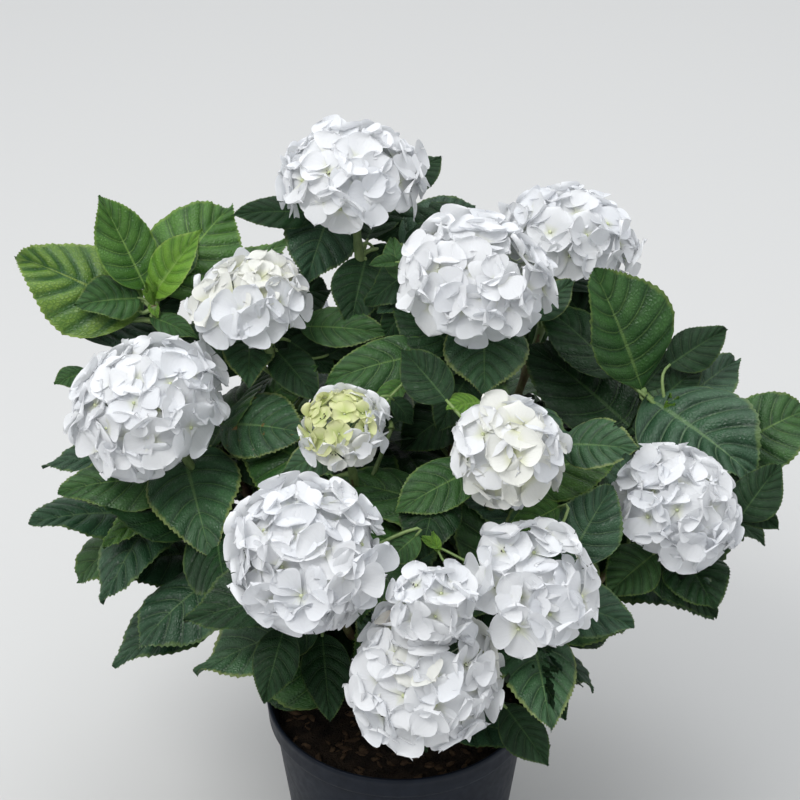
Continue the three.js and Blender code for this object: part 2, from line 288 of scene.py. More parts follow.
def node(nt, kind, **values):
    n = nt.nodes.new(kind)
    for k, v in values.items():
        if k.startswith("in_"):
            n.inputs[int(k[3:])].default_value = v
        else:
            setattr(n, k, v)
    return n


def maths(nt, op, a, b=None, c=None, clamp=False):
    n = node(nt, "ShaderNodeMath", operation=op, use_clamp=clamp)
    for i, x in enumerate((a, b, c)):
        if x is None:
            continue
        if isinstance(x, (int, float)):
            n.inputs[i].default_value = x
        else:
            nt.links.new(x, n.inputs[i])
    return n.outputs[0]


def ramp(nt, value, low, high, out_low=0.0, out_high=1.0):
    n = node(nt, "ShaderNodeMapRange", interpolation_type="SMOOTHSTEP")
    nt.links.new(value, n.inputs[0])
    for i, x in enumerate((low, high, out_low, out_high)):
        n.inputs[1 + i].default_value = x
    return n.outputs[0]


def blend(nt, factor, a, b, mode="MIX"):
    n = node(nt, "ShaderNodeMix", data_type="RGBA", blend_type=mode)
    for i, x in ((0, factor), (6, a), (7, b)):
        if isinstance(x, (int, float)):
            n.inputs[i].default_value = x
        elif isinstance(x, tuple):
            n.inputs[i].default_value = (*x, 1.0)
        else:
            nt.links.new(x, n.inputs[i])
    return n.outputs[2]


def noise(nt, vector, scale, detail=3.0, rough=0.55):
    n = node(nt, "ShaderNodeTexNoise")
    n.inputs["Scale"].default_value = scale
    n.inputs["Detail"].default_value = detail
    n.inputs["Roughness"].default_value = rough
    nt.links.new(vector, n.inputs["Vector"])
    return n.outputs["Fac"]


def bump(nt, bsdf, height, strength, distance):
    n = node(nt, "ShaderNodeBump")
    n.inputs["Strength"].default_value = strength
    n.inputs["Distance"].default_value = distance
    nt.links.new(height, n.inputs["Height"])
    nt.links.new(n.outputs[0], bsdf.inputs["Normal"])


VEINS = 8  # pairs of side veins on a leaf


def leaf_material(name, deep, pale, vein, edge, seed, edge_width=0.045, vein_strength=0.55, dark_veins=False, rough=0.39, specular=0.40, blotch=0.0, blotch_colour=(0.2, 0.11, 0.03)):
    """deep and pale are the blade's two greens, vein the midrib's, edge the toothed margin's."""
    m, nt, bsdf = new_material(name)
    uv = node(nt, "ShaderNodeUVMap", uv_map="Local").outputs[0]
    xyz = node(nt, "ShaderNodeSeparateXYZ")
    nt.links.new(uv, xyz.inputs[0])
    s, w = xyz.outputs[0], xyz.outputs[1]
    across = maths(nt, "ABSOLUTE", maths(nt, "MULTIPLY_ADD", w, 2.0, -1.0))
    shift = node(nt, "ShaderNodeVectorMath", operation="MULTIPLY_ADD")
    nt.links.new(uv, shift.inputs[0])
    shift.inputs[1].default_value = (1.35, 0.9, 1.0)
    shift.inputs[2].default_value = (seed * 1.7, seed * 0.6, seed * 3.1)
    place = shift.outputs[0]
    wobble = noise(nt, place, 5.0, 2.0)
    along = maths(nt, "MULTIPLY_ADD", s, float(VEINS), maths(nt, "MULTIPLY_ADD", wobble, 0.12, -0.06))
    part = maths(nt, "FRACT", along)
    near = maths(nt, "ABSOLUTE", maths(nt, "MULTIPLY_ADD", part, 2.0, -1.0))  # 1 on a side vein, 0 between two
    side_vein = maths(nt, "MULTIPLY", ramp(nt, near, 0.88, 0.98), ramp(nt, across, 0.96, 0.5, 0.15, 1.0))
    midrib = ramp(nt, across, 0.055, 0.018)
    stretched = node(nt, "ShaderNodeVectorMath", operation="MULTIPLY_ADD")
    nt.links.new(uv, stretched.inputs[0])
    stretched.inputs[1].default_value = (46.0, 30.0, 1.0)
    stretched.inputs[2].default_value = (seed * 5.3, seed * 2.9, 0.0)
    net = node(nt, "ShaderNodeTexVoronoi", feature="DISTANCE_TO_EDGE")
    nt.links.new(stretched.outputs[0], net.inputs["Vector"])
    net.inputs["Scale"].default_value = 1.0
    mesh_vein = ramp(nt, net.outputs["Distance"], 0.16, 0.02)
    puffed = ramp(nt, net.outputs["Distance"], 0.0, 0.38)
    cloud = noise(nt, place, 3.2, 4.0)
    fine = noise(nt, place, 22.0, 3.0)
    base = blend(nt, ramp(nt, cloud, 0.34, 0.68), deep, pale)
    # painted highlight: a little paler along the crowns of the quilting, where the light falls on them
    base = blend(nt, maths(nt, "MULTIPLY", ramp(nt, near, 0.75, 0.1), 0.42), base, pale)
    # painted shade: darker in the groove beside each side vein, where shade falls in it
    groove = maths(nt, "MULTIPLY", ramp(nt, near, 0.55, 0.9), ramp(nt, near, 1.0, 0.9))
    base = blend(nt, maths(nt, "MULTIPLY", groove, 0.58), base, tuple(0.45 * c for c in deep))
    # painted shade: darker along the sunken lines of the fine vein net; on the chlorotic kind the darker net is the
    # leaf's own green
    base = blend(nt, maths(nt, "MULTIPLY", mesh_vein, 0.30), base, tuple(0.5 * c for c in deep) if not dark_veins else deep)
    if dark_veins:
        wide = maths(nt, "MULTIPLY", ramp(nt, near, 0.42, 0.95), ramp(nt, across, 1.0, 0.5, 0.25, 0.85))
        base = blend(nt, wide, base, vein)
        base = blend(nt, ramp(nt, across, 0.2, 0.03, 0.0, 0.8), base, vein)
        base = blend(nt, maths(nt, "MULTIPLY", mesh_vein, 0.35), base, vein)
        base = blend(nt, maths(nt, "MULTIPLY", midrib, 0.6), base, edge)
    else:
        base = blend(nt, maths(nt, "MULTIPLY", side_vein, vein_strength), base, vein)
        base = blend(nt, maths(nt, "MULTIPLY", midrib, min(1.0, vein_strength + 0.25)), base, vein)
    rim = ramp(nt, maths(nt, "ADD", across, maths(nt, "MULTIPLY_ADD", wobble, 0.16, -0.08)), 1.0 - edge_width * 1.6, 1.0 - edge_width * 0.1)
    base = blend(nt, maths(nt, "MULTIPLY", rim, 0.6), base, edge)
    if blotch:
        spots = ramp(nt, noise(nt, place, 7.0, 4.0, 0.7), 0.66 - blotch * 0.1, 0.72 - blotch * 0.1)
        base = blend(nt, maths(nt, "MULTIPLY", spots, 0.85), base, blotch_colour)
    base = blend(nt, maths(nt, "MULTIPLY_ADD", fine, 0.5, -0.1, clamp=True), base, blend(nt, 0.5, base, (0.0, 0.0, 0.0)), "MIX")
    nt.links.new(base, bsdf.inputs["Base Color"])
    nt.links.new(ramp(nt, fine, 0.3, 0.7, rough - 0.06, rough + 0.1), bsdf.inputs["Roughness"])
    bsdf.inputs["Specular IOR Level"].default_value = specular
    height = maths(nt, "ADD", maths(nt, "MULTIPLY", puffed, 1.0), maths(nt, "MULTIPLY", side_vein, -0.7))
    height = maths(nt, "ADD", height, maths(nt, "MULTIPLY", fine, 0.2))
    bump(nt, bsdf, height, 0.6, 0.0006)
    return m


def petal_material(name, white, heart, seed, heart_reach=0.35, fleck=False):
    """A sepal: white, tinted towards its foot, with fine veins that fan out from it."""
    m, nt, bsdf = new_material(name)
    uv = node(nt, "ShaderNodeUVMap", uv_map="Local").outputs[0]
    xyz = node(nt, "ShaderNodeSeparateXYZ")
    nt.links.new(uv, xyz.inputs[0])
    r, w = xyz.outputs[0], xyz.outputs[1]
    shift = node(nt, "ShaderNodeVectorMath", operation="MULTIPLY_ADD")
    nt.links.new(uv, shift.inputs[0])
    shift.inputs[1].default_value = (1.0, 1.0, 1.0)
    shift.inputs[2].default_value = (seed * 2.3, seed * 1.1, seed * 0.7)
    wob = noise(nt, shift.outputs[0], 3.0, 2.0)
    fan = maths(nt, "SINE", maths(nt, "MULTIPLY", maths(nt, "MULTIPLY_ADD", wob, 0.12, w), 60.0))
    lines = ramp(nt, fan, 0.55, 1.0)
    soft = noise(nt, shift.outputs[0], 6.0, 3.0)
    base = blend(nt, ramp(nt, r, 0.02, heart_reach, 1.0, 0.0), white, heart)
    base = blend(nt, maths(nt, "MULTIPLY", lines, 0.10), base, blend(nt, 0.35, white, heart))
    base = blend(nt, maths(nt, "MULTIPLY", soft, 0.10), base, (0.62, 0.66, 0.74))
    if fleck:
        dots = ramp(nt, noise(nt, shift.outputs[0], 16.0, 2.0, 0.6), 0.73, 0.78)
        base = blend(nt, maths(nt, "MULTIPLY", dots, 0.8), base, (0.10, 0.07, 0.05))
    nt.links.new(base, bsdf.inputs["Base Color"])
    bsdf.inputs["Roughness"].default_value = 0.62
    bsdf.inputs["Specular IOR Level"].default_value = 0.2
    bump(nt, bsdf, maths(nt, "ADD", maths(nt, "MULTIPLY", lines, -0.5), maths(nt, "MULTIPLY", soft, 0.6)), 0.35, 0.0005)
    through = node(nt, "ShaderNodeBsdfTranslucent")
    nt.links.new(base, through.inputs["Color"])
    mix = node(nt, "ShaderNodeMixShader")
    mix.inputs[0].default_value = 0.26
    nt.links.new(bsdf.outputs[0], mix.inputs[1])
    nt.links.new(through.outputs[0], mix.inputs[2])
    nt.links.new(mix.outputs[0], nt.nodes["Material Output"].inputs["Surface"])
    return m


def plain_material(name, colour, other, scale, rough, rough_spread=0.1, bumpy=0.4, depth=0.0008, stretch=(1, 1, 1), specular=0.4):
    """Something with a mottled colour and a fine grain, in the object's own space."""
    m, nt, bsdf = new_material(name)
    where = node(nt, "ShaderNodeTexCoord").outputs["Object"]
    vm = node(nt, "ShaderNodeVectorMath", operation="MULTIPLY")
    nt.links.new(where, vm.inputs[0])
    vm.inputs[1].default_value = stretch
    a = noise(nt, vm.outputs[0], scale, 5.0, 0.6)
    b = noise(nt, vm.outputs[0], scale * 5.3, 4.0, 0.6)
    base = blend(nt, ramp(nt, a, 0.36, 0.66), colour, other)
    base = blend(nt, maths(nt, "MULTIPLY", ramp(nt, b, 0.4, 0.7), 0.35), base, blend(nt, 0.5, colour, (0, 0, 0)))
    nt.links.new(base, bsdf.inputs["Base Color"])
    nt.links.new(ramp(nt, b, 0.3, 0.7, rough - rough_spread, min(1.0, rough + rough_spread)), bsdf.inputs["Roughness"])
    bsdf.inputs["Specular IOR Level"].default_value = specular
    bump(nt, bsdf, b, bumpy, depth)
    return m


LEAF = {
    # the dark kind is the leaves' green darkened, with less shine: painted shade for leaves deep in the crown's shadow
    "dark": leaf_material("leaf_dark_painted_shade", (0.0075, 0.029, 0.0085), (0.017, 0.053, 0.017), (0.050, 0.105, 0.034), (0.072, 0.118, 0.026), 1, specular=0.20),
    "blue": leaf_material("leaf_blue", (0.017, 0.058, 0.025), (0.042, 0.108, 0.051), (0.105, 0.190, 0.075), (0.115, 0.182, 0.048), 2, vein_strength=0.5, rough=0.38, specular=0.36),
    "mid": leaf_material("leaf_mid", (0.019, 0.069, 0.015), (0.048, 0.130, 0.030), (0.122, 0.222, 0.056), (0.145, 0.215, 0.043), 3, vein_strength=0.5, rough=0.40, specular=0.34),
    "fresh": leaf_material("leaf_fresh", (0.027, 0.100, 0.010), (0.068, 0.176, 0.022), (0.165, 0.300, 0.055), (0.170, 0.280, 0.040), 4, vein_strength=0.5, rough=0.40),
    "rimmed": leaf_material("leaf_rimmed", (0.018, 0.064, 0.022), (0.044, 0.118, 0.044), (0.110, 0.205, 0.068), (0.200, 0.245, 0.062), 5, edge_width=0.042, vein_strength=0.5),
    "spotted": leaf_material("leaf_spotted", (0.019, 0.064, 0.024), (0.046, 0.118, 0.046), (0.110, 0.200, 0.070), (0.170, 0.210, 0.050), 6, edge_width=0.042, blotch=0.4),
    "chlorotic": leaf_material("leaf_chlorotic", (0.054, 0.142, 0.014), (0.155, 0.258, 0.036), (0.016, 0.078, 0.012), (0.235, 0.330, 0.060), 7, dark_veins=True, rough=0.4),
    "lime": leaf_material("leaf_lime", (0.090, 0.230, 0.018), (0.175, 0.340, 0.036), (0.210, 0.350, 0.070), (0.230, 0.330, 0.070), 8, vein_strength=0.5, rough=0.4),
}
LEAF_INDEX = {k: i for i, k in enumerate(LEAF)}
PETALS = [
    petal_material("petal_white", (0.835, 0.843, 0.855), (0.75, 0.765, 0.65), 1, 0.30),
    petal_material("petal_cool", (0.805, 0.818, 0.840), (0.73, 0.75, 0.66), 2, 0.25),
    petal_material("petal_flecked", (0.830, 0.838, 0.852), (0.75, 0.765, 0.62), 3, fleck=True),
    petal_material("petal_cream", (0.835, 0.835, 0.785), (0.74, 0.755, 0.51), 4, 0.5),
    petal_material("petal_green", (0.72, 0.74, 0.40), (0.58, 0.66, 0.24), 5, 0.8),
    petal_material("petal_scorched", (0.80, 0.78, 0.72), (0.55, 0.36, 0.16), 6, 0.9),
]
BARK = plain_material("bark", (0.085, 0.055, 0.032), (0.17, 0.118, 0.072), 60.0, 0.85, bumpy=0.8, depth=0.0015, stretch=(3.0, 3.0, 0.6), specular=0.25)
GREEN_STEM = plain_material("green_stem", (0.10, 0.16, 0.05), (0.16, 0.22, 0.08), 45.0, 0.5, bumpy=0.3, depth=0.0006, stretch=(2, 2, 0.6))
RED_STEM = plain_material("ripening_stem", (0.105, 0.075, 0.035), (0.15, 0.16, 0.06), 50.0, 0.6, bumpy=0.5, depth=0.0008, stretch=(2, 2, 0.6))
PETIOLE = plain_material("petiole", (0.15, 0.24, 0.07), (0.22, 0.31, 0.11), 40.0, 0.5, bumpy=0.2, depth=0.0004)
PEDICEL = plain_material("pedicel", (0.46, 0.54, 0.36), (0.60, 0.66, 0.50), 60.0, 0.6, bumpy=0.2, depth=0.0003)
CENTRE = plain_material("floret_centre", (0.50, 0.56, 0.30), (0.66, 0.70, 0.48), 500.0, 0.6, bumpy=0.3, depth=0.0002)
ANTHER = plain_material("dark_anther", (0.020, 0.014, 0.016), (0.05, 0.032, 0.028), 400.0, 0.7, bumpy=0.2, depth=0.0002)
CUT_WOOD = plain_material("cut_wood", (0.36, 0.27, 0.16), (0.24, 0.17, 0.10), 260.0, 0.8, bumpy=0.5, depth=0.0005)
SOIL = plain_material("compost", (0.014, 0.010, 0.008), (0.040, 0.027, 0.018), 90.0, 0.95, 0.04, bumpy=0.9, depth=0.003, specular=0.2)
CHIP = plain_material("bark_chip", (0.055, 0.032, 0.018), (0.12, 0.075, 0.042), 120.0, 0.85, bumpy=0.7, depth=0.001, stretch=(1, 3, 1), specular=0.25)
POT = plain_material("navy_plastic", (0.0045, 0.0080, 0.0160), (0.0058, 0.0100, 0.0195), 22.0, 0.50, 0.05, bumpy=0.05, depth=0.0003, specular=0.20)


# ---------------------------------------------------------------- a leaf
ROWS, HALF = 49, 6  # rows along the midrib, columns on each side of it


def leaf_shape(length, width, g, fold=0.25, droop=0.7, curl=0.25, wave=1.0, twist=0.0, quilt=1.0, detail=1, peak=None, wedge=None):
    """The blade's points in its own frame: +X along the midrib from its foot, +Z out of its upper face.

    s runs along the midrib and w across, from -1 to 1. Lines of one s follow the side veins out to the margin."""
    rows, half = (ROWS - 1) * detail + 1, HALF * detail
    s = np.linspace(0, 1, rows)
    w = np.linspace(-1, 1, 2 * half + 1)
    S, W = np.meshgrid(s, w, indexing="ij")
    A = np.abs(W)
    peak = (peak or 0.42) + g.uniform(-0.04, 0.03)
    reach = g.uniform(0.25, 0.29)
    wedge = g.uniform(0.0, 0.35) if wedge is None else wedge
    margin = s + reach * np.sin(math.pi * s) ** 0.9 * (1 - 0.25 * s)
    margin = margin / margin[-1]

    def outline(x):
        foot = np.clip(1 - (1 - np.minimum(x, peak) / peak) ** 2.1, 0, 1) ** (0.60 + 0.55 * wedge)
        q = np.clip((x - peak) / (1 - peak), 0, 1)
        return np.where(x < peak, foot, np.clip(1 - q**1.9, 0, 1) ** 1.12)

    ym = 0.5 * width * outline(margin)
    ym = np.maximum(ym, 1.0 + 0 * s)
    ym[-1] = 0.3
    xm = length * margin
    # teeth on the margin, leaning towards the tip
    tx, ty = np.gradient(xm), np.gradient(ym)
    t_len = np.hypot(tx, ty) + 1e-9
    nx, ny = -ty / t_len, tx / t_len
    # every other row is a tooth's point
    row = np.arange(rows)
    period = 2 * detail
    tooth = np.where(row % period == 0, 1.0, 0.0) if detail == 1 else 1 - np.abs((row % period) / period * 2 - 1)
    size = min(0.95, 0.012 * width) * np.clip(np.sin(math.pi * np.clip(s, 0, 1)) * 2.2, 0, 1) * (0.75 + 0.5 * g.random(rows))
    xo = xm + tooth * size * (nx + 1.1 * tx / t_len)
    yo = ym + tooth * size * np.abs(ny)
    bendy = 1.55
    edge = A >= 0.999
    X = length * S + (np.where(edge, xo[:, None], xm[:, None]) - length * S) * A**bendy
    Y = np.sign(W) * A * np.where(edge, yo[:, None], ym[:, None])
    # two sides are never alike
    lop = 1 + 0.07 * g.uniform(-1, 1) * np.sign(W)
    Y = Y * lop

    part = (S * VEINS) % 1.0
    crown = np.sin(math.pi * part) ** 0.65
    room = np.clip(A * 3.2, 0, 1) * (1 - 0.55 * A**2)
    size_q = quilt * 0.046 * width * np.clip(np.sin(math.pi * S) * 1.6, 0, 1)
    z = size_q * (crown - 0.5) * room
    ph = g.uniform(0, 6.28, 4)
    z += size_q * 0.06 * np.sin(W * 15 + 2.0 * np.sin(S * 17 + ph[0]) + ph[1]) * crown * np.clip(A * 4, 0, 1)
    z -= quilt * 0.9 * np.exp(-((Y / (0.030 * width)) ** 2)) * np.clip(S * 8, 0, 1)
    # folded up along the midrib, then rolled down towards the margin
    z += math.tan(fold) * np.abs(Y)
    z -= curl * 2.2 * Y**2 / width
    side = np.where(W > 0, 1.0, 0.0)
    ripple = np.sin(S * 2 * math.pi * 1.6 + ph[2] + side * ph[3])
    z += wave * 0.055 * width * ripple * A**2
    # bent down along the midrib, more towards the tip
    x = X / length
    turn = droop * (0.35 * x + 0.65 * x**2)
    fine = np.linspace(0, 1.15, 200)
    bend = droop * (0.35 * fine + 0.65 * fine**2)
    cx = np.concatenate([[0], np.cumsum(np.cos(0.5 * (bend[1:] + bend[:-1])) * np.diff(fine))]) * length
    cz = np.concatenate([[0], np.cumsum(-np.sin(0.5 * (bend[1:] + bend[:-1])) * np.diff(fine))]) * length
    roll = twist * x
    y2 = Y * np.cos(roll) - z * np.sin(roll)
    z2 = Y * np.sin(roll) + z * np.cos(roll)
    px = np.interp(x, fine, cx) + z2 * np.sin(turn)
    pz = np.interp(x, fine, cz) + z2 * np.cos(turn)
    P = np.stack([px, y2, pz], -1)
    return P, S, W


def leaf_frame(tip_local, tip_world, up):
    a = unit(tip_local)
    n = unit(Z - a * (Z @ a))
    A = unit(tip_world)
    N = np.asarray(up, float)
    N = N - A * (N @ A)
    if np.linalg.norm(N) < 1e-3:
        N = np.cross(A, [1.0, 0.2, 0.1])
    N = unit(N)
    local = np.stack([a, np.cross(n, a), n], 1)
    world = np.stack([A, np.cross(N, A), N], 1)
    return world @ local.T


CELLS = 3  # the leaf map has 3 by 3 cells, one for each kind of leaf


def leaf_bake(S, W, kind):
    i = LEAF_INDEX[kind]
    x, y = i % CELLS, i // CELLS
    return np.stack([(x + 0.03 + 0.94 * S) / CELLS, (y + 0.03 + 0.94 * (W + 1) / 2) / CELLS], -1)


leaf_piles = {}
petiole_pile = Pile()
leaf_samples = []  # points on every leaf so far
leaf_log = []
shown_points = []
nearest = None


def hole_mask(S, W, holes):
    """Cells of the blade that insects have eaten: each hole is (s, w, size along, size across)."""
    s = 0.25 * (S[:-1, :-1] + S[1:, :-1] + S[:-1, 1:] + S[1:, 1:])
    w = 0.25 * (W[:-1, :-1] + W[1:, :-1] + W[:-1, 1:] + W[1:, 1:])
    gone = np.zeros(s.shape, bool)
    for i, (hs, hw, rs, rw) in enumerate(holes):
        angle = np.arctan2((w - hw) / rw, (s - hs) / rs)
        ragged = 1 + 0.22 * np.sin(3 * angle + i) + 0.15 * np.sin(5 * angle + 2.3 * i)
        gone |= ((s - hs) / rs) ** 2 + ((w - hw) / rw) ** 2 < ragged**2
    return gone


def add_leaf(pile_name, P, S, W, R, foot, kind, holes=()):
    pile = leaf_piles.setdefault(pile_name, Pile())
    rows, cols = S.shape
    v = P.reshape(-1, 3) @ R.T + foot
    quads = grid_quads(rows, cols)
    uv = np.stack([S, (W + 1) / 2], -1).reshape(-1, 2)
    if holes:
        keep = ~hole_mask(S, W, holes).reshape(-1)
        quads = quads[keep]
        used = np.unique(quads)
        back = np.full(len(v), -1)
        back[used] = np.arange(len(used))
        v, uv, quads = v[used], uv[used], back[quads]
        bake = leaf_bake(S, W, kind).reshape(-1, 2)[used]
    else:
        bake = leaf_bake(S, W, kind).reshape(-1, 2)
    pile.add(v, quads, LEAF_INDEX[kind], uv, bake)


def add_petiole(origin, stem_way, foot, leaf_way, width, thin=1.0, wood=False):
    """A leaf stalk from its stem to the blade's foot, widest where it clasps the stem."""
    gap = np.linalg.norm(foot - origin)
    out = unit(foot - origin)
    start = unit(out * 0.8 + stem_way * 0.5)
    line = bezier([origin, origin + start * gap * 0.4, foot - leaf_way * gap * 0.35, foot + leaf_way * 2.5], np.linspace(0, 1, 9))
    u = np.linspace(0, 1, 9)
    r = thin * (1.25 + 0.012 * width) * (1.0 + 0.55 * np.exp(-u * 9) - 0.25 * u)
    tube(petiole_pile, line, r, 6, 0)


def sample(P, R, foot):
    rows, cols = P.shape[:2]
    ri = np.linspace(0, rows - 1, 8).astype(int)
    ci = np.linspace(0, cols - 1, 5).astype(int)
    return P[np.ix_(ri, ci)].reshape(-1, 3) @ R.T + foot


HEAD_AT = np.array([h.at for h in heads.values()])
HEAD_AXIS = np.array([h.axis for h in heads.values()])
HEAD_R = np.array([h.width / 2 for h in heads.values()])
LOW = np.array(CAD_BOX[0]) / MM - 8
HIGH = np.array(CAD_BOX[1]) / MM + 8


BARE = [
    [(594, 645), (634, 641), (642, 602), (668, 602), (690, 622), (728, 620), (733, 562), (750, 547), (830, 547), (830, 830), (560, 830), (556, 742), (580, 702), (594, 695)],
    [(256, 708), (350, 722), (372, 748), (500, 760), (556, 764), (560, 830), (256, 830)],
]
SKY_X = (0, 60, 95, 150, 235, 262, 280, 430, 440, 500, 520, 640, 660, 690, 735, 800)
SKY_Y = (235, 235, 190, 185, 200, 200, 105, 115, 190, 196, 176, 215, 260, 318, 330, 385)


def within(polygon, px, py):
    """Which of the photo's points lie in a polygon of its pixels."""
    hit = np.zeros(np.shape(px), bool)
    for (ax, ay), (bx, by) in zip(polygon, polygon[1:] + polygon[:1]):
        crosses = (ay > py) != (by > py)
        hit ^= crosses & (px < (bx - ax) * (py - ay) / (by - ay + 1e-9) + ax)
    return hit


def fault(points):
    """How badly a leaf's points lie in or over flower heads, in other leaves, in the pot or out of the model's box."""
    d = points[:, None] - HEAD_AT[None]
    up = (d * HEAD_AXIS[None]).sum(-1)
    flat = np.sqrt(np.maximum((d**2).sum(-1) - up**2, 0))
    r = HEAD_R[None]
    inside = (flat / (r * 1.0)) ** 2 + (up / (r * 0.80)) ** 2 < 1
    over = (up > -0.15 * r) & (up < 2.2 * r) & (flat < 1.1 * r)
    worst = 1.6 * (inside | over).any(1).mean()
    if leaf_samples:
        others = np.concatenate(leaf_samples)
        near = np.linalg.norm(others - points.mean(0), axis=1) < 190
        if near.any():
            o = others[near]
            gap = ((points[:, None] - o[None]) ** 2).sum(-1).min(1)
            worst += 0.9 * (gap < 8.0**2).mean()
    # in the photo's view, nothing may hide a flower head
    x, y, t = seen(points)
    hx, hy, ht = seen(HEAD_AT)
    hr = HEAD_R / (ht * PIXEL)
    cover = (np.hypot(x[:, None] - hx, (y[:, None] - hy) / 0.92) < hr * 0.97) & (t[:, None] < ht - 5)
    worst += 1.2 * cover.any(1).mean()
    bare = y < np.interp(x, SKY_X, SKY_Y)
    for polygon in BARE:
        bare |= within(polygon, x, y)
    worst += 1.6 * bare.mean()
    if nearest is not None:
        front = nearest[np.clip((y / 8).astype(int), 0, 99), np.clip((x / 8).astype(int), 0, 99)]
        worst += 2.0 * ((front < 1e8) & (t < front)).mean()
        # and none stands close behind the leaf that is eaten through
        worst += 2.0 * ((np.hypot((x - EATEN[0]) / 32, (y - EATEN[1]) / 44) < 1) & (t < EATEN[2] + 140)).mean()
    worst += 3 * ((points < LOW) | (points > HIGH)).any(1).mean()
    radial = np.hypot(points[:, 0], points[:, 1])
    worst += 3 * ((radial < POT_RIM + 4) & (points[:, 2] < POT_HEIGHT + 6)).mean()
    return worst
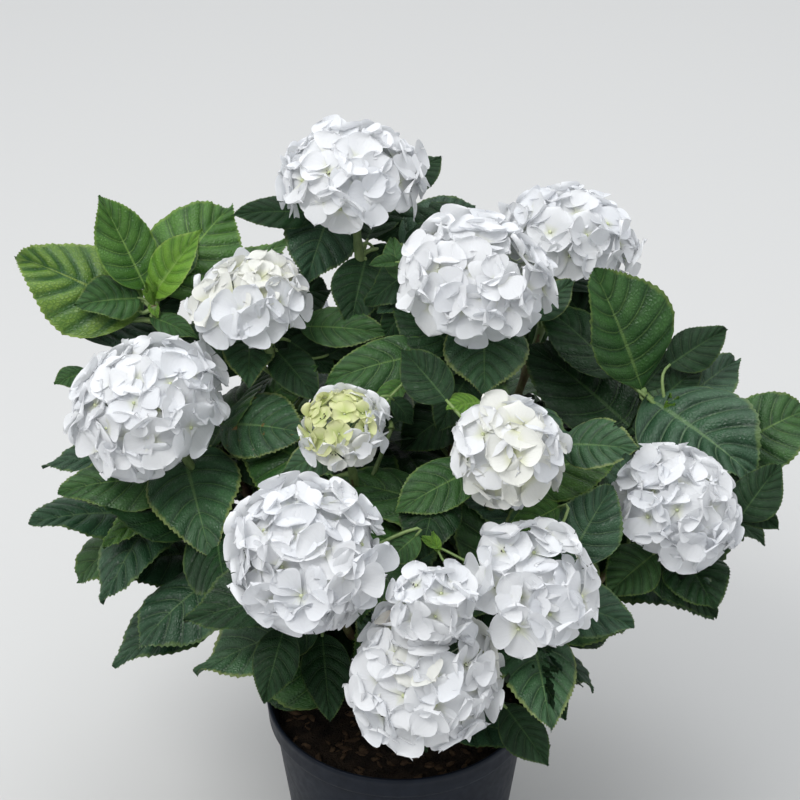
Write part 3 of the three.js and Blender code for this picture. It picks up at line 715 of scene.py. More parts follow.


# The leaves that the photo shows, by its pixels: stem, foot of the blade, tip, width across, kind (the dark kind is
# painted shade, for leaves in shadow), and what is special.
SHOWN = [
    ("01", (318, 213), (231, 216), 40, "dark", {}),
    ("01", (334, 200), (306, 284), 76, "blue", {}),
    ("01", (396, 186), (441, 158), 42, "dark", {}),
    ("02", (470, 216), (362, 238), 50, "dark", {}),
    ("02", (398, 262), (369, 266), 16, "mid", {"fold": 0.7}),
    ("02", (399, 280), (392, 238), 26, "mid", {}),
    ("02", (438, 290), (377, 313), 40, "blue", {}),
    ("02", (484, 316), (484, 396), 84, "rimmed", {"aspect": 0.84, "droop": 0.6}),
    ("02", (532, 318), (573, 281), 36, "rimmed", {}),
    ("right_shoot", (638, 434), (524, 342), 98, "dark", {"deep": 0.5}),
    ("right_shoot", (643, 391), (593, 268), 94, "mid", {"fold": 0.52, "droop": 0.3, "deep": -0.35, "curl": 0.1, "peak": 0.58, "wedge": 1.0, "stalk": 1.9, "over": True}),
    ("right_shoot", (650, 399), (759, 482), 122, "blue", {"fold": 0.22, "droop": 0.45, "wave": 1.4, "deep": -0.55, "stalk": 1.7, "quilt": 1.25, "holes": ((0.30, -1.0, 0.022, 0.16), (0.42, -1.02, 0.018, 0.12))}),
    ("right_shoot", (728, 450), (812, 408), 82, "mid", {"fold": 0.15, "deep": 0.15}),
    ("right_shoot", (668, 366), (727, 329), 46, "dark", {"deep": 0.3}),
    ("10", (735, 497), (779, 530), 34, "dark", {}),
    ("10", (655, 553), (606, 596), 56, "mid", {"deep": -0.3}),
    ("09", (556, 600), (635, 627), 60, "blue", {"deep": -0.2}),
    ("12", (530, 628), (551, 732), 80, "rimmed", {"deep": -0.9, "holes": ((0.27, -0.24, 0.050, 0.22), (0.26, 0.26, 0.042, 0.20), (0.39, 0.44, 0.070, 0.20), (0.50, 0.24, 0.060, 0.17), (0.62, 0.32, 0.085, 0.25), (0.72, 0.42, 0.050, 0.28), (0.44, -0.20, 0.020, 0.07), (0.36, -0.94, 0.020, 0.12))}),
    ("10", (680, 552), (716, 612), 66, "dark", {"holes": ((0.35, -0.4, 0.05, 0.16), (0.55, 0.35, 0.045, 0.14), (0.7, -0.15, 0.03, 0.10))}),
    ("08", (284, 628), (264, 704), 46, "dark", {}),
    ("08", (322, 634), (330, 722), 50, "dark", {}),
    ("12", (505, 706), (548, 766), 46, "dark", {}),
    ("08", (418, 534), (386, 565), 34, "mid", {}),
    ("09", (440, 548), (420, 538), 12, "lime", {"fold": 0.6}),
    ("09", (438, 552), (432, 532), 10, "lime", {"fold": 0.7}),
    ("09", (456, 592), (463, 560), 26, "mid", {}),
    ("08", (270, 588), (245, 608), 22, "mid", {}),
    ("04", (220, 424), (309, 435), 74, "spotted", {}),
    ("04", (300, 326), (390, 335), 44, "mid", {}),
    ("04", (250, 332), (249, 388), 52, "rimmed", {}),
    ("04", (262, 402), (319, 366), 40, "mid", {"deep": -0.5}),
    ("02", (437, 352), (324, 384), 58, "mid", {"deep": -0.1}),
    ("02", (434, 374), (337, 386), 38, "dark", {"deep": 0.1}),
    ("06", (404, 382), (374, 410), 24, "fresh", {}),
    ("05", (182, 448), (211, 558), 94, "rimmed", {}),
    ("05", (238, 458), (268, 490), 30, "dark", {}),
    ("06", (336, 450), (283, 474), 38, "rimmed", {}),
    ("07", (480, 402), (446, 409), 30, "lime", {}),
    ("07", (560, 444), (640, 450), 60, "rimmed", {"holes": ((0.66, -0.97, 0.04, 0.16), (0.45, 0.99, 0.04, 0.10))}),
    ("07", (480, 466), (394, 514), 58, "mid", {}),
    ("09", (568, 562), (613, 485), 68, "blue", {"deep": 0.4}),
    ("09", (560, 506), (506, 538), 38, "fresh", {}),
    ("left_shoot", (142, 313), (14, 256), 96, "chlorotic", {"quilt": 1.3, "fold": 0.1, "wave": 1.3, "deep": -0.1}),
    ("left_shoot", (140, 298), (74, 306), 52, "mid", {"fold": 0.6, "curl": 0.5, "deep": -0.5}),
    ("left_shoot", (146, 288), (99, 195), 60, "fresh", {"fold": 0.45, "droop": 0.3, "deep": -0.2}),
    ("left_shoot", (160, 293), (231, 206), 104, "fresh", {"fold": 0.2, "deep": 0.45, "quilt": 1.2}),
    ("left_shoot", (152, 297), (203, 230), 46, "lime", {"fold": 0.62, "droop": 0.4, "deep": -0.2}),
    ("left_shoot", (152, 300), (174, 290), 13, "lime", {"fold": 0.6}),
    ("left_shoot", (151, 303), (158, 318), 11, "lime", {"fold": 0.6}),
    ("left_shoot", (150, 316), (197, 338), 26, "mid", {}),
    ("05", (88, 372), (54, 384), 28, "mid", {}),
    # behind those, the dark ones that fill the crown: painted shade, where the crown lies in shadow
    ("02", (462, 352), (392, 304), 62, "dark", {"deep": 0.3}),
    ("02", (424, 262), (366, 306), 50, "dark", {"deep": 0.2}),
    ("right_shoot", (622, 378), (540, 304), 62, "dark", {"deep": 0.7}),
    ("right_shoot", (700, 470), (778, 452), 60, "dark", {"deep": 0.2}),
    ("07", (448, 402), (402, 350), 50, "dark", {"deep": 0.5}),
    ("04", (268, 300), (330, 290), 60, "dark", {"deep": 0.5}),
    ("06", (330, 480), (262, 530), 60, "dark", {}),
    ("07", (440, 480), (420, 560), 62, "dark", {}),
    ("09", (500, 560), (455, 620), 56, "dark", {}),
    ("02", (470, 400), (400, 450), 60, "dark", {"deep": 0.2}),
    ("01", (366, 258), (350, 330), 56, "dark", {"deep": -0.4}),
    ("01", (372, 246), (408, 300), 44, "dark", {"deep": -0.2}),
    ("04", (276, 350), (318, 402), 44, "dark", {"deep": -0.4}),
    ("03", (596, 338), (556, 282), 56, "dark", {"deep": 0.4}),
    ("10", (738, 520), (780, 464), 50, "dark", {"deep": 0.2}),
    ("02", (470, 372), (438, 432), 50, "dark", {"deep": -0.3}),
    ("04", (264, 320), (318, 356), 42, "dark", {"deep": 0.1}),
    ("04", (288, 340), (334, 374), 38, "dark", {"deep": 0.2}),
    ("02", (472, 346), (434, 376), 36, "dark", {"deep": 0.3}),
    ("right_shoot", (640, 392), (676, 352), 34, "dark", {"deep": 0.5}),
    ("02", (420, 300), (383, 338), 38, "dark", {"deep": 0.4}),
    ("04", (326, 356), (374, 336), 30, "dark", {"deep": 0.4}),
    ("06", (392, 398), (412, 424), 22, "dark", {"deep": 0.4}),
    ("left_shoot", (148, 322), (180, 290), 34, "dark", {"deep": 0.6}),
    ("right_shoot", (664, 396), (700, 368), 34, "dark", {"deep": 0.6}),
    ("12", (526, 658), (566, 720), 46, "dark", {"deep": -0.5, "behind": 45}),
]


def tier_of(stem, run):
    """The pile that a leaf joins: how far below its shoot's tip it stands."""
    below = stem.run[-1] - run
    return "leaves_top" if below < 62 else "leaves_second" if below < 110 else "leaves_third" if below < 175 else "leaves_low"


def head_fault(points, first):
    """The share of points inside flower heads, and of points that hide a head which the photo shows."""
    d = points[:, None] - HEAD_AT[None]
    up = (d * HEAD_AXIS[None]).sum(-1)
    flat = np.sqrt(np.maximum((d**2).sum(-1) - up**2, 0))
    inside = (flat / (HEAD_R + 3)) ** 2 + (up / (HEAD_R * FLATNESS + 3)) ** 2 < 1
    x, y, t = seen(points)
    hx, hy, ht = seen(HEAD_AT)
    cover = (np.hypot(x[:, None] - hx, (y[:, None] - hy) / 0.9) < 0.93 * HEAD_R / (ht * PIXEL)) & (t[:, None] < ht)
    cover[:, 12:] = False
    return 2.5 * inside.any(1).mean() + (0.3 if first else 1.2) * cover.any(1).mean()


def place_shown(i, stem_name, foot_px, tip_px, width_px, kind, special):
    stem = stems[stem_name]
    # the stem point that the blade's foot lies nearest to, along the camera's line through it
    way = unit(on_ray(*foot_px, 1000.0) - EYE)
    high = stem.run > 0.30 * stem.run[-1]
    pts, runs = stem.line[high], stem.run[high]
    rel = pts - EYE
    along = rel @ way
    off = np.linalg.norm(rel - along[:, None] * way, axis=1)
    k = int(np.argmin(off + 0.06 * (runs[-1] - runs)))
    run = float(min(runs[k], stem.run[-1] - (4 if stem_name.endswith("shoot") else 16)))
    origin, stem_way, thick = at_run(stem, run)
    start = float((EYE + way * ((origin - EYE) @ way) - EYE) @ AHEAD)
    start += special.get("behind", 0.0)
    # the blade's foot stays below any head that it would run into
    x, y, t = seen(HEAD_AT)
    over = (np.hypot(foot_px[0] - x, foot_px[1] - y) < HEAD_R / (t * PIXEL)) & (t < start + 0.8 * HEAD_R)
    for j in np.flatnonzero(over):
        start = max(start, t[j] + 0.55 * HEAD_R[j])

    def build(shift, lean):
        g = np.random.default_rng(1000 + i)
        depth = start + shift
        foot = on_ray(*foot_px, depth)
        scale = depth * PIXEL
        right = (tip_px[0] - foot_px[0]) * scale
        rise = (foot_px[1] - tip_px[1]) * scale
        flat = math.hypot(right, rise)
        width = width_px * scale
        length = max(flat * 1.03, width / special.get("aspect", 0.68))
        deep = math.sqrt(max(length**2 - flat**2, 0))
        deep = min(deep, 1.15 * flat) * (-1 if rise < 0.25 * flat else 1)
        if "deep" in special:
            deep = special["deep"] * flat
        deep += lean * flat
        tip = on_ray(*tip_px, depth + deep)
        up = unit(Z * 0.55 - AHEAD * 0.65)
        shape = dict(
            fold=special.get("fold", g.uniform(0.12, 0.30)),
            droop=special.get("droop", g.uniform(0.35, 0.7)),
            curl=special.get("curl", g.uniform(0.15, 0.35)),
            wave=special.get("wave", g.uniform(0.6, 1.2)),
            twist=g.uniform(-0.25, 0.25),
            quilt=special.get("quilt", 1.0),
            detail=2 if "holes" in special else 1,
            peak=special.get("peak"),
            wedge=special.get("wedge"),
        )
        chord = np.linalg.norm(tip - foot)
        state = g.bit_generator.state
        P, S, W = leaf_shape(chord, width, g, **shape)
        got = np.linalg.norm(P[-1, P.shape[1] // 2])
        g.bit_generator.state = state
        P, S, W = leaf_shape(chord * chord / got, width, g, **shape)
        R = leaf_frame(P[-1, P.shape[1] // 2], tip - foot, up)
        cost = head_fault(P[::3, ::2].reshape(-1, 3) @ R.T + foot, "over" in special)
        cost += abs(shift) / 400 + abs(lean) * 0.12 + np.linalg.norm(foot - origin) / 900
        return cost, P, S, W, R, foot, width, chord

    tried = [build(shift, lean) for shift in (0, 18, -18, 36, -36, 60, 90) for lean in (0.0, 0.35, -0.35)]
    cost, P, S, W, R, foot, width, chord = min(tried, key=lambda c: c[0])
    add_leaf(tier_of(stem, run), P, S, W, R, foot, kind, special.get("holes", ()))
    leaf_way = unit(R @ (P[2, P.shape[1] // 2] - P[0, P.shape[1] // 2]))
    add_petiole(origin + unit(foot - origin) * thick * 0.5, stem_way, foot, leaf_way, width, special.get("stalk", 1.0))
    leaf_samples.append(sample(P, R, foot))
    shown_points.append(P.reshape(-1, 3) @ R.T + foot)
    stem.nodes.append(run)
    leaf_log.append((stem_name, kind, round(float(chord)), round(float(width)), round(float(cost), 2)))


for i, entry in enumerate(SHOWN):
    place_shown(i, *entry)

# how near the shown leaves come to the camera, over a coarse grid of the photo
nearest = np.full((100, 100), 1e9)
x, y, t = seen(np.concatenate(shown_points))
cx, cy = np.clip((x / 8).astype(int), 0, 99), np.clip((y / 8).astype(int), 0, 99)
np.minimum.at(nearest, (cy, cx), t)
EATEN = (536.0, 680.0, float(nearest[85, 67]))

# The rest of the leaves grow in pairs along each stem by a seeded rule, each pair turned a quarter from the last.
KINDS = ["dark", "blue", "mid", "fresh", "rimmed", "spotted"]
KIND_ODDS = np.array([0.30, 0.30, 0.24, 0.07, 0.05, 0.04])


def pick_kind(g, foot):
    odds = KIND_ODDS.copy()
    # painted shade: low in the crown the dark kind is dealt out more often, for leaves in its shadow
    if foot[2] < 400:  # the darker ones low in the crown
        odds[3:] *= 0.15
        odds[0] += 0.12
    return str(g.choice(KINDS, p=odds / odds.sum()))


grown = dropped = 0
for number, (name, stem) in enumerate(stems.items()):
    g = np.random.default_rng(4000 + number)
    leafy = name.endswith("shoot")
    turn = g.uniform(0, math.pi)
    below = 6.0 if leafy else heads[name].half * 0.35 + 12
    step, size = 26.0, 0.66
    while True:
        run = stem.run[-1] - below
        p, way, thick = at_run(stem, run)
        if p[2] < 292 or below > 330:
            break
        side = unit(np.cross(way, Z) if abs(way[2]) < 0.97 else np.cross(way, [1.0, 0.3, 0]))
        over = np.cross(side, way)
        for half in (0, 1):
            best = None
            for attempt in range(14):
                angle = turn + half * math.pi + g.uniform(-0.5, 0.5) * (1 + attempt / 7)
                out = math.cos(angle) * side + math.sin(angle) * over
                shrink = 1.0 if attempt < 6 else 0.82 if attempt < 10 else 0.66
                length = g.uniform(104, 138) * size * shrink
                width = length * g.uniform(0.60, 0.72)
                stalk = g.uniform(16, 30) * (0.7 + 0.5 * size)
                climb = g.uniform(-0.15, 0.45) + (0.25 if below < 70 else 0.0)
                aim = unit(out + way * climb + Z * 0.05)
                foot = p + unit(out * 0.9 + way * 0.7) * stalk
                away = unit(foot * [1, 1, 0] - DOME_CENTRE * [1, 1, 0])
                up = unit(Z * 0.9 + away * 0.25 - out * 0.0 + g.normal(size=3) * 0.12)
                droop = g.uniform(0.35, 0.95)
                tip_way = unit(aim - Z * 0.25 * droop)
                shape = dict(fold=g.uniform(0.10, 0.34), droop=droop, curl=g.uniform(0.12, 0.4), wave=g.uniform(0.5, 1.4), twist=g.uniform(-0.35, 0.35), quilt=g.uniform(0.8, 1.2))
                P, S, W = leaf_shape(length, width, g, **shape)
                R = leaf_frame(P[-1, P.shape[1] // 2], tip_way, up)
                points = sample(P, R, foot)
                cost = fault(points) + 0.05 * attempt
                if best is None or cost < best[0]:
                    best = (cost, P, S, W, R, foot, width, length)
                if cost < 0.12:
                    break
            cost, P, S, W, R, foot, width, length = best
            if cost > 0.62:
                dropped += 1
                continue
            kind = pick_kind(g, foot)
            if name == "left_shoot":
                kind = str(g.choice(["fresh", "mid", "chlorotic"], p=[0.4, 0.35, 0.25]))
            add_leaf(tier_of(stem, run), P, S, W, R, foot, kind)
            leaf_way = unit(R @ (P[2, P.shape[1] // 2] - P[0, P.shape[1] // 2]))
            add_petiole(p + unit(foot - p) * thick * 0.5, way, foot, leaf_way, width)
            leaf_samples.append(sample(P, R, foot))
            grown += 1
        stem.nodes.append(run)
        turn += math.pi / 2 + g.uniform(-0.15, 0.15)
        below += step
        step = min(step + 14, 62.0)
        size = min(size + 0.17, 1.0) if below < 170 else max(size - 0.06, 0.7)
# Where the photo's view would still look through the crown, past every leaf, one more grows off the nearest stem.
CROWN = [(62, 372), (96, 330), (180, 300), (300, 236), (430, 226), (520, 220), (600, 280), (660, 330), (730, 372), (790, 420), (770, 490), (735, 545), (700, 605), (640, 600), (600, 640), (560, 735), (400, 700), (262, 690), (180, 560), (90, 480)]


cell_x, cell_y = np.meshgrid(np.arange(100) * 8 + 4.0, np.arange(100) * 8 + 4.0)
wanted_cells = within(CROWN, cell_x, cell_y) & (np.hypot(cell_x - EATEN[0], cell_y - EATEN[1]) > 52)
HX, HY, HT = seen(HEAD_AT)
for j in range(12):
    wanted_cells &= np.hypot(cell_x - HX[j], (cell_y - HY[j]) / 0.92) > 0.92 * HEAD_R[j] / (HT[j] * PIXEL)
# a leaf has to come nearer than this to count: in front of the heads that the photo doesn't show
need = np.full((100, 100), 1e8)
for j in range(12, len(HT)):
    disc = np.hypot(cell_x - HX[j], (cell_y - HY[j]) / 0.95) < 1.05 * HEAD_R[j] / (HT[j] * PIXEL)
    need[disc] = np.minimum(need[disc], HT[j] - 0.75 * HEAD_R[j])


def depth_grid(points, grid):
    x, y, t = seen(points)
    np.minimum.at(grid, (np.clip((y / 8).astype(int), 0, 99), np.clip((x / 8).astype(int), 0, 99)), t)
    return grid


front_now = np.full((100, 100), 1e9)
for pile in leaf_piles.values():
    for v in pile.v:
        depth_grid(v, front_now)
g = np.random.default_rng(4700)
patched = 0
for turn_number in range(80):
    open_cells = wanted_cells & (front_now > need)
    if open_cells.sum() < 6:
        break
    near = sum(np.roll(np.roll(open_cells, a, 0), b, 1) for a in (-2, -1, 0, 1, 2) for b in (-2, -1, 0, 1, 2)) * open_cells
    pick = near + g.random((100, 100)) * 2.5 * open_cells
    cy, cx = np.unravel_index(int(np.argmax(pick)), pick.shape)
    best = None
    for attempt in range(14):
        middle = np.array([cx * 8 + 4.0, cy * 8 + 4.0]) + g.normal(size=2) * 8
        a = g.uniform(0, 2 * math.pi)
        span = g.uniform(60, 100)
        foot_px = middle - np.array([math.cos(a), math.sin(a)]) * span * 0.5
        tip_px = middle + np.array([math.cos(a), math.sin(a)]) * span * 0.5
        found = None
        for name, stem in stems.items():
            if name in ("13", "14", "15", "16", "17"):
                continue
            high = stem.run > 0.3 * stem.run[-1]
            sx, sy, st = seen(stem.line[high][::4])
            d = np.hypot(sx - foot_px[0], sy - foot_px[1]) + 0.15 * np.maximum(st - need[cy, cx], 0)
            k = int(np.argmin(d))
            if found is None or d[k] < found[0]:
                found = (d[k], name, float(stem.run[high][::4][k]), float(st[k]))
        d, name, run, depth = found
        if d > 90:
            continue
        depth = min(depth + g.uniform(-5, 75), need[cy, cx] - g.uniform(8, 50))
        foot = on_ray(*foot_px, depth)
        flat = span * depth * PIXEL
        tip = on_ray(*tip_px, min(depth + flat * g.uniform(-0.2, 0.7), need[cy, cx] - 5))
        chord = np.linalg.norm(tip - foot)
        width = chord * g.uniform(0.56, 0.68)
        P, S, W = leaf_shape(chord, width, g, fold=g.uniform(0.1, 0.3), droop=g.uniform(0.3, 0.7), curl=g.uniform(0.12, 0.3), wave=g.uniform(0.5, 1.2), twist=g.uniform(-0.2, 0.2))
        R = leaf_frame(P[-1, P.shape[1] // 2], tip - foot, unit(Z * 0.6 - AHEAD * 0.5))
        points = sample(P, R, foot)
        blank = depth_grid(P.reshape(-1, 3) @ R.T + foot, np.full((100, 100), 1e9))
        gain = ((blank < need) & open_cells).sum()
        cost = fault(points) + head_fault(points, False) - 0.05 * gain
        if best is None or cost < best[0]:
            best = (cost, P, S, W, R, foot, width, name, run, gain)
    if best is None or best[0] > 0.25 or best[9] < 2:
        wanted_cells[max(cy - 1, 0):cy + 2, max(cx - 1, 0):cx + 2] = False
        continue
    cost, P, S, W, R, foot, width, name, run, gain = best
    stem = stems[name]
    origin, stem_way, thick = at_run(stem, min(run, stem.run[-1] - 16))
    # mostly of the dark kind: painted shade for the shadowed depth of the crown
    add_leaf(tier_of(stem, run), P, S, W, R, foot, str(g.choice(["dark", "blue", "mid"], p=[0.6, 0.25, 0.15])))
    leaf_way = unit(R @ (P[2, P.shape[1] // 2] - P[0, P.shape[1] // 2]))
    add_petiole(origin + unit(foot - origin) * thick * 0.5, stem_way, foot, leaf_way, width)
    leaf_samples.append(sample(P, R, foot))
    stem.nodes.append(run)
    depth_grid(P.reshape(-1, 3) @ R.T + foot, front_now)
    patched += 1
print("patched", patched, "still open", int((wanted_cells & (front_now > need)).sum()))

twigs = []
g = np.random.default_rng(4900)
names = list(stems)
wanted, filled, tries = 64, 0, 0
while filled < wanted and tries < 420:
    tries += 1
    stem = stems[names[int(g.integers(len(names)))]]
    below = g.uniform(70, 260)
    if below > stem.run[-1] - 60:
        continue
    run = stem.run[-1] - below
    p, way, thick = at_run(stem, run)
    if p[2] < 285:
        continue
    side = unit(np.cross(way, Z) if abs(way[2]) < 0.97 else np.cross(way, [1.0, 0.3, 0]))
    over = np.cross(side, way)
    a = g.uniform(0, 2 * math.pi)
    out = math.cos(a) * side + math.sin(a) * over
    aim = unit(out + way * g.uniform(0.5, 1.2) + Z * 0.35)
    reach = g.uniform(22, 75)
    tip = p + aim * reach
    kept = []
    for half in (0, 1):
        best = None
        for attempt in range(5):
            s2 = unit(np.cross(aim, Z + 0.01))
            o2 = np.cross(s2, aim)
            b = g.uniform(-0.7, 0.7) + half * math.pi
            out2 = math.cos(b) * s2 + math.sin(b) * o2
            length = g.uniform(78, 128) * (1 if attempt < 3 else 0.8)
            width = length * g.uniform(0.60, 0.72)
            foot = tip + unit(out2 + aim * 0.5) * g.uniform(10, 22)
            droop = g.uniform(0.35, 0.95)
            tip_way = unit(out2 + aim * g.uniform(0.0, 0.6) - Z * 0.25 * droop)
            away = unit(foot * [1, 1, 0] - DOME_CENTRE * [1, 1, 0])
            up = unit(Z * 0.9 + away * 0.25 + g.normal(size=3) * 0.12)
            shape = dict(fold=g.uniform(0.10, 0.34), droop=droop, curl=g.uniform(0.12, 0.4), wave=g.uniform(0.5, 1.4), twist=g.uniform(-0.35, 0.35), quilt=g.uniform(0.8, 1.2))
            P, S, W = leaf_shape(length, width, g, **shape)
            R = leaf_frame(P[-1, P.shape[1] // 2], tip_way, up)
            points = sample(P, R, foot)
            cost = fault(points)
            if best is None or cost < best[0]:
                best = (cost, P, S, W, R, foot, width)
        if best[0] < 0.16:
            kept.append(best)
            leaf_samples.append(sample(best[1], best[4], best[5]))
    if not kept:
        continue
    line = bezier([p, p + unit(out + way) * reach * 0.35, tip - aim * reach * 0.3, tip], np.linspace(0, 1, 9))
    twigs.append((line, 2.1 if reach > 45 else 1.8))
    for cost, P, S, W, R, foot, width in kept:
        kind = pick_kind(g, foot)
        add_leaf(tier_of(stem, run + 40), P, S, W, R, foot, kind)
        leaf_way = unit(R @ (P[2, P.shape[1] // 2] - P[0, P.shape[1] // 2]))
        add_petiole(tip + unit(foot - tip) * 1.2, aim, foot, leaf_way, width)
        filled += 1
print("leaves", len(SHOWN), "shown,", grown, "grown,", dropped, "left out,", filled, "on", len(twigs), "side twigs")


# The same from the sides and the back: where a level look would pass straight through the crown.
filled_round = 0
for look, bearing in enumerate((90, 180, -90, 135, -135, 45, -45)):
    g = np.random.default_rng(5200 + look)
    a = math.radians(bearing - 90)  # bearing 0 looks at the front
    toward = np.array([math.cos(a) * math.cos(0.26), math.sin(a) * math.cos(0.26), math.sin(0.26)])
    across = unit(np.cross(Z, toward))
    rise = np.cross(toward, across)

    def cells(points):
        return np.clip(((points @ rise) / 8 + 10).astype(int), 0, 99), np.clip(((points @ across) / 8 + 50).astype(int), 0, 99)

    filled_cells = np.zeros((100, 100), bool)
    for pile in leaf_piles.values():
        for v in pile.v:
            filled_cells[cells(v)] = True
    gy, gx = np.meshgrid(np.arange(100), np.arange(100), indexing="ij")
    for j in range(len(HEAD_AT)):
        mx, my = HEAD_AT[j] @ across / 8 + 50, HEAD_AT[j] @ rise / 8 + 10
        filled_cells |= np.hypot(gx + 0.5 - mx, (gy + 0.5 - my) / 0.9) < 0.95 * HEAD_R[j] / 8

    def shut_in(reach=13):
        """Open cells with the crown's leaves or heads to the left, to the right, above and below."""
        result = ~filled_cells
        for axis, sign in ((0, 1), (0, -1), (1, 1), (1, -1)):
            hit = np.zeros((100, 100), bool)
            for step in range(1, reach + 1):
                hit |= np.roll(filled_cells, sign * step, axis)
            result &= hit
        return result & (gy * 8 - 80 > 250) & (gy * 8 - 80 < 640)

    for turn_number in range(16):
        open_cells = shut_in()
        if open_cells.sum() < 8:
            break
        near = sum(np.roll(np.roll(open_cells, p, 0), q, 1) for p in (-2, -1, 0, 1, 2) for q in (-2, -1, 0, 1, 2)) * open_cells
        pick = near + g.random((100, 100)) * 6 * open_cells
        cy, cx = np.unravel_index(int(np.argmax(pick)), pick.shape)
        centre = across * ((cx + 0.5 - 50) * 8) + rise * ((cy + 0.5 - 10) * 8)
        best = None
        for attempt in range(16):
            name = names[int(g.integers(len(names)))]
            stem = stems[name]
            k = int(g.integers(int(0.35 * len(stem.run)), len(stem.run)))
            run = min(float(stem.run[k]), stem.run[-1] - 20)
            p, way, thick = at_run(stem, run)
            goal = centre + toward * (p @ toward + g.uniform(-25, 45)) + across * g.normal() * 6 + rise * g.normal() * 6
            gap = np.linalg.norm(goal - p)
            if gap > 118 or gap < 30:
                continue
            length = g.uniform(78, 112)
            width = length * g.uniform(0.60, 0.70)
            out = unit(goal - p)
            foot = goal - out * min(length * 0.5, gap - 12)
            tip_way = unit(out - Z * g.uniform(0.0, 0.3) + g.normal(size=3) * 0.1)
            P, S, W = leaf_shape(length, width, g, fold=g.uniform(0.1, 0.3), droop=g.uniform(0.35, 0.8), curl=g.uniform(0.12, 0.35), wave=g.uniform(0.5, 1.3), twist=g.uniform(-0.25, 0.25))
            R = leaf_frame(P[-1, P.shape[1] // 2], tip_way, unit(Z * 0.7 + toward * 0.55))
            points = sample(P, R, foot)
            fresh_cells = np.zeros((100, 100), bool)
            fresh_cells[cells(P.reshape(-1, 3) @ R.T + foot)] = True
            gain = (fresh_cells & open_cells).sum()
            cost = fault(points) + 0.5 * head_fault(points, False) - 0.035 * gain
            if best is None or cost < best[0]:
                best = (cost, P, S, W, R, foot, width, name, run, gain)
        if best is None or best[0] > 0.14 or best[9] < 4:
            filled_cells[max(cy - 1, 0):cy + 2, max(cx - 1, 0):cx + 2] = True
            continue
        cost, P, S, W, R, foot, width, name, run, gain = best
        stem = stems[name]
        origin, stem_way, thick = at_run(stem, run)
        add_leaf(tier_of(stem, run) if stem.run[-1] - run > 62 else "leaves_second", P, S, W, R, foot, pick_kind(g, foot))
        leaf_way = unit(R @ (P[2, P.shape[1] // 2] - P[0, P.shape[1] // 2]))
        add_petiole(origin + unit(foot - origin) * thick * 0.5, stem_way, foot, leaf_way, width)
        leaf_samples.append(sample(P, R, foot))
        stem.nodes.append(run)
        filled_cells[cells(P.reshape(-1, 3) @ R.T + foot)] = True
        filled_round += 1
print("filled from the sides", filled_round)


# ---------------------------------------------------------------- flower heads
SEPAL_ROWS, SEPAL_COLS = 9, 7
PETAL_CELLS = 3


def sepal(g, length, width, cup, pointed, roll, back):
    """One sepal from the floret's middle outwards: +X out, +Z up. It rises like a shell, then lies back."""
    t = np.linspace(0, 1, SEPAL_ROWS)
    r = 1 - (1 - t) ** 1.35
    w = np.linspace(-1, 1, SEPAL_COLS)
    Rr, W = np.meshgrid(r, w, indexing="ij")
    peak = g.uniform(0.56, 0.66)
    power = math.log(0.5) / math.log(peak)
    wide = np.clip(np.sin(math.pi * np.clip(Rr, 0, 1) ** power), 0, 1) ** (0.56 + 0.25 * pointed)
    wide = np.maximum(wide, 0.10 * (1 - Rr) + 0.035)
    ph = g.uniform(0, 6.28, 4)
    # the margin is never quite even
    uneven = 1 + 0.045 * np.sin(Rr * 7 + ph[0] + (W > 0) * ph[3])
    y = 0.5 * width * wide * W * uneven
    x = length * (Rr - 0.07 * np.abs(W) ** 2 * Rr + 0.03 * np.sin(W * 4.2 + ph[1]) * Rr**3)
    z = length * cup * (Rr - back * Rr**2)
    hollow = g.uniform(0.08, 0.20) if g.random() < 0.8 else -0.08
    z += hollow * width * W**2 * np.sin(np.clip(Rr, 0, 1) * math.pi * 0.72)
    z += 0.030 * length * np.sin(W * 3.4 + ph[1]) * Rr**2
    z += 0.022 * length * np.sin(W * 7.5 + ph[2]) * Rr**3
    z -= 0.018 * length * np.exp(-((W / 0.16) ** 2)) * np.sin(Rr * math.pi)
    y2 = y * math.cos(roll) - z * math.sin(roll) * 0.3
    z2 = z + y * math.sin(roll)
    return np.stack([x + 0.9, y2, z2], -1), Rr, W


def petal_bake(R, W, k):
    x, y = k % PETAL_CELLS, k // PETAL_CELLS
    return np.stack([(x + 0.04 + 0.92 * R) / PETAL_CELLS, (y + 0.04 + 0.92 * (W + 1) / 2) / PETAL_CELLS], -1)


SEPAL_QUADS = grid_quads(SEPAL_ROWS, SEPAL_COLS)
BALL = None


def little_ball():
    """A low ball with its points and triangles, for buds and floret centres."""
    global BALL
    if BALL is None:
        import bmesh

        bm = bmesh.new()
        bmesh.ops.create_icosphere(bm, subdivisions=1, radius=1.0)
        BALL = (np.array([v.co[:] for v in bm.verts]), np.array([[v.index for v in f.verts] for f in bm.faces]))
        bm.free()
    return BALL


floret_piles = {}
stalk_pile, centre_pile = Pile(), Pile()
floret_count = 0

GROUP = {n: "florets_top" for n in ("01", "02", "03", "04")}
GROUP.update({n: "florets_left" for n in ("05", "06", "08", "16")})
GROUP.update({n: "florets_front" for n in ("07", "09", "11", "12")})
GROUP.update({n: "florets_right" for n in ("10", "17", "15")})
GROUP.update({n: "florets_back" for n in ("13", "14")})


# how far round each head its florets reach, in degrees from its crown
LOWEST = {"01": 103, "02": 108, "03": 108, "04": 103, "05": 114, "06": 110, "07": 118, "08": 116, "09": 76, "10": 112, "11": 116, "12": 112}


# how much narrower or taller than its plain dome each one is, and how far it hangs below
SHAPE = {
    "01": (0.99, 0.90, 10.5, -1), "02": (0.98, 0.86, 8.0, -3), "03": (1.02, 0.98, 5.5, 0), "04": (0.99, 0.88, 6.5, 0), "05": (0.99, 1.02, 4.0, 0), "06": (0.92, 0.9, 3.0, 1),
    "07": (0.91, 1.20, 5.0, -4), "08": (0.88, 0.92, 1.0, -4), "09": (1.07, 0.48, 1.0, 0.5), "10": (1.03, 0.86, 1.0, 1.5), "12": (0.99, 1.16, -15.0, 0),
}


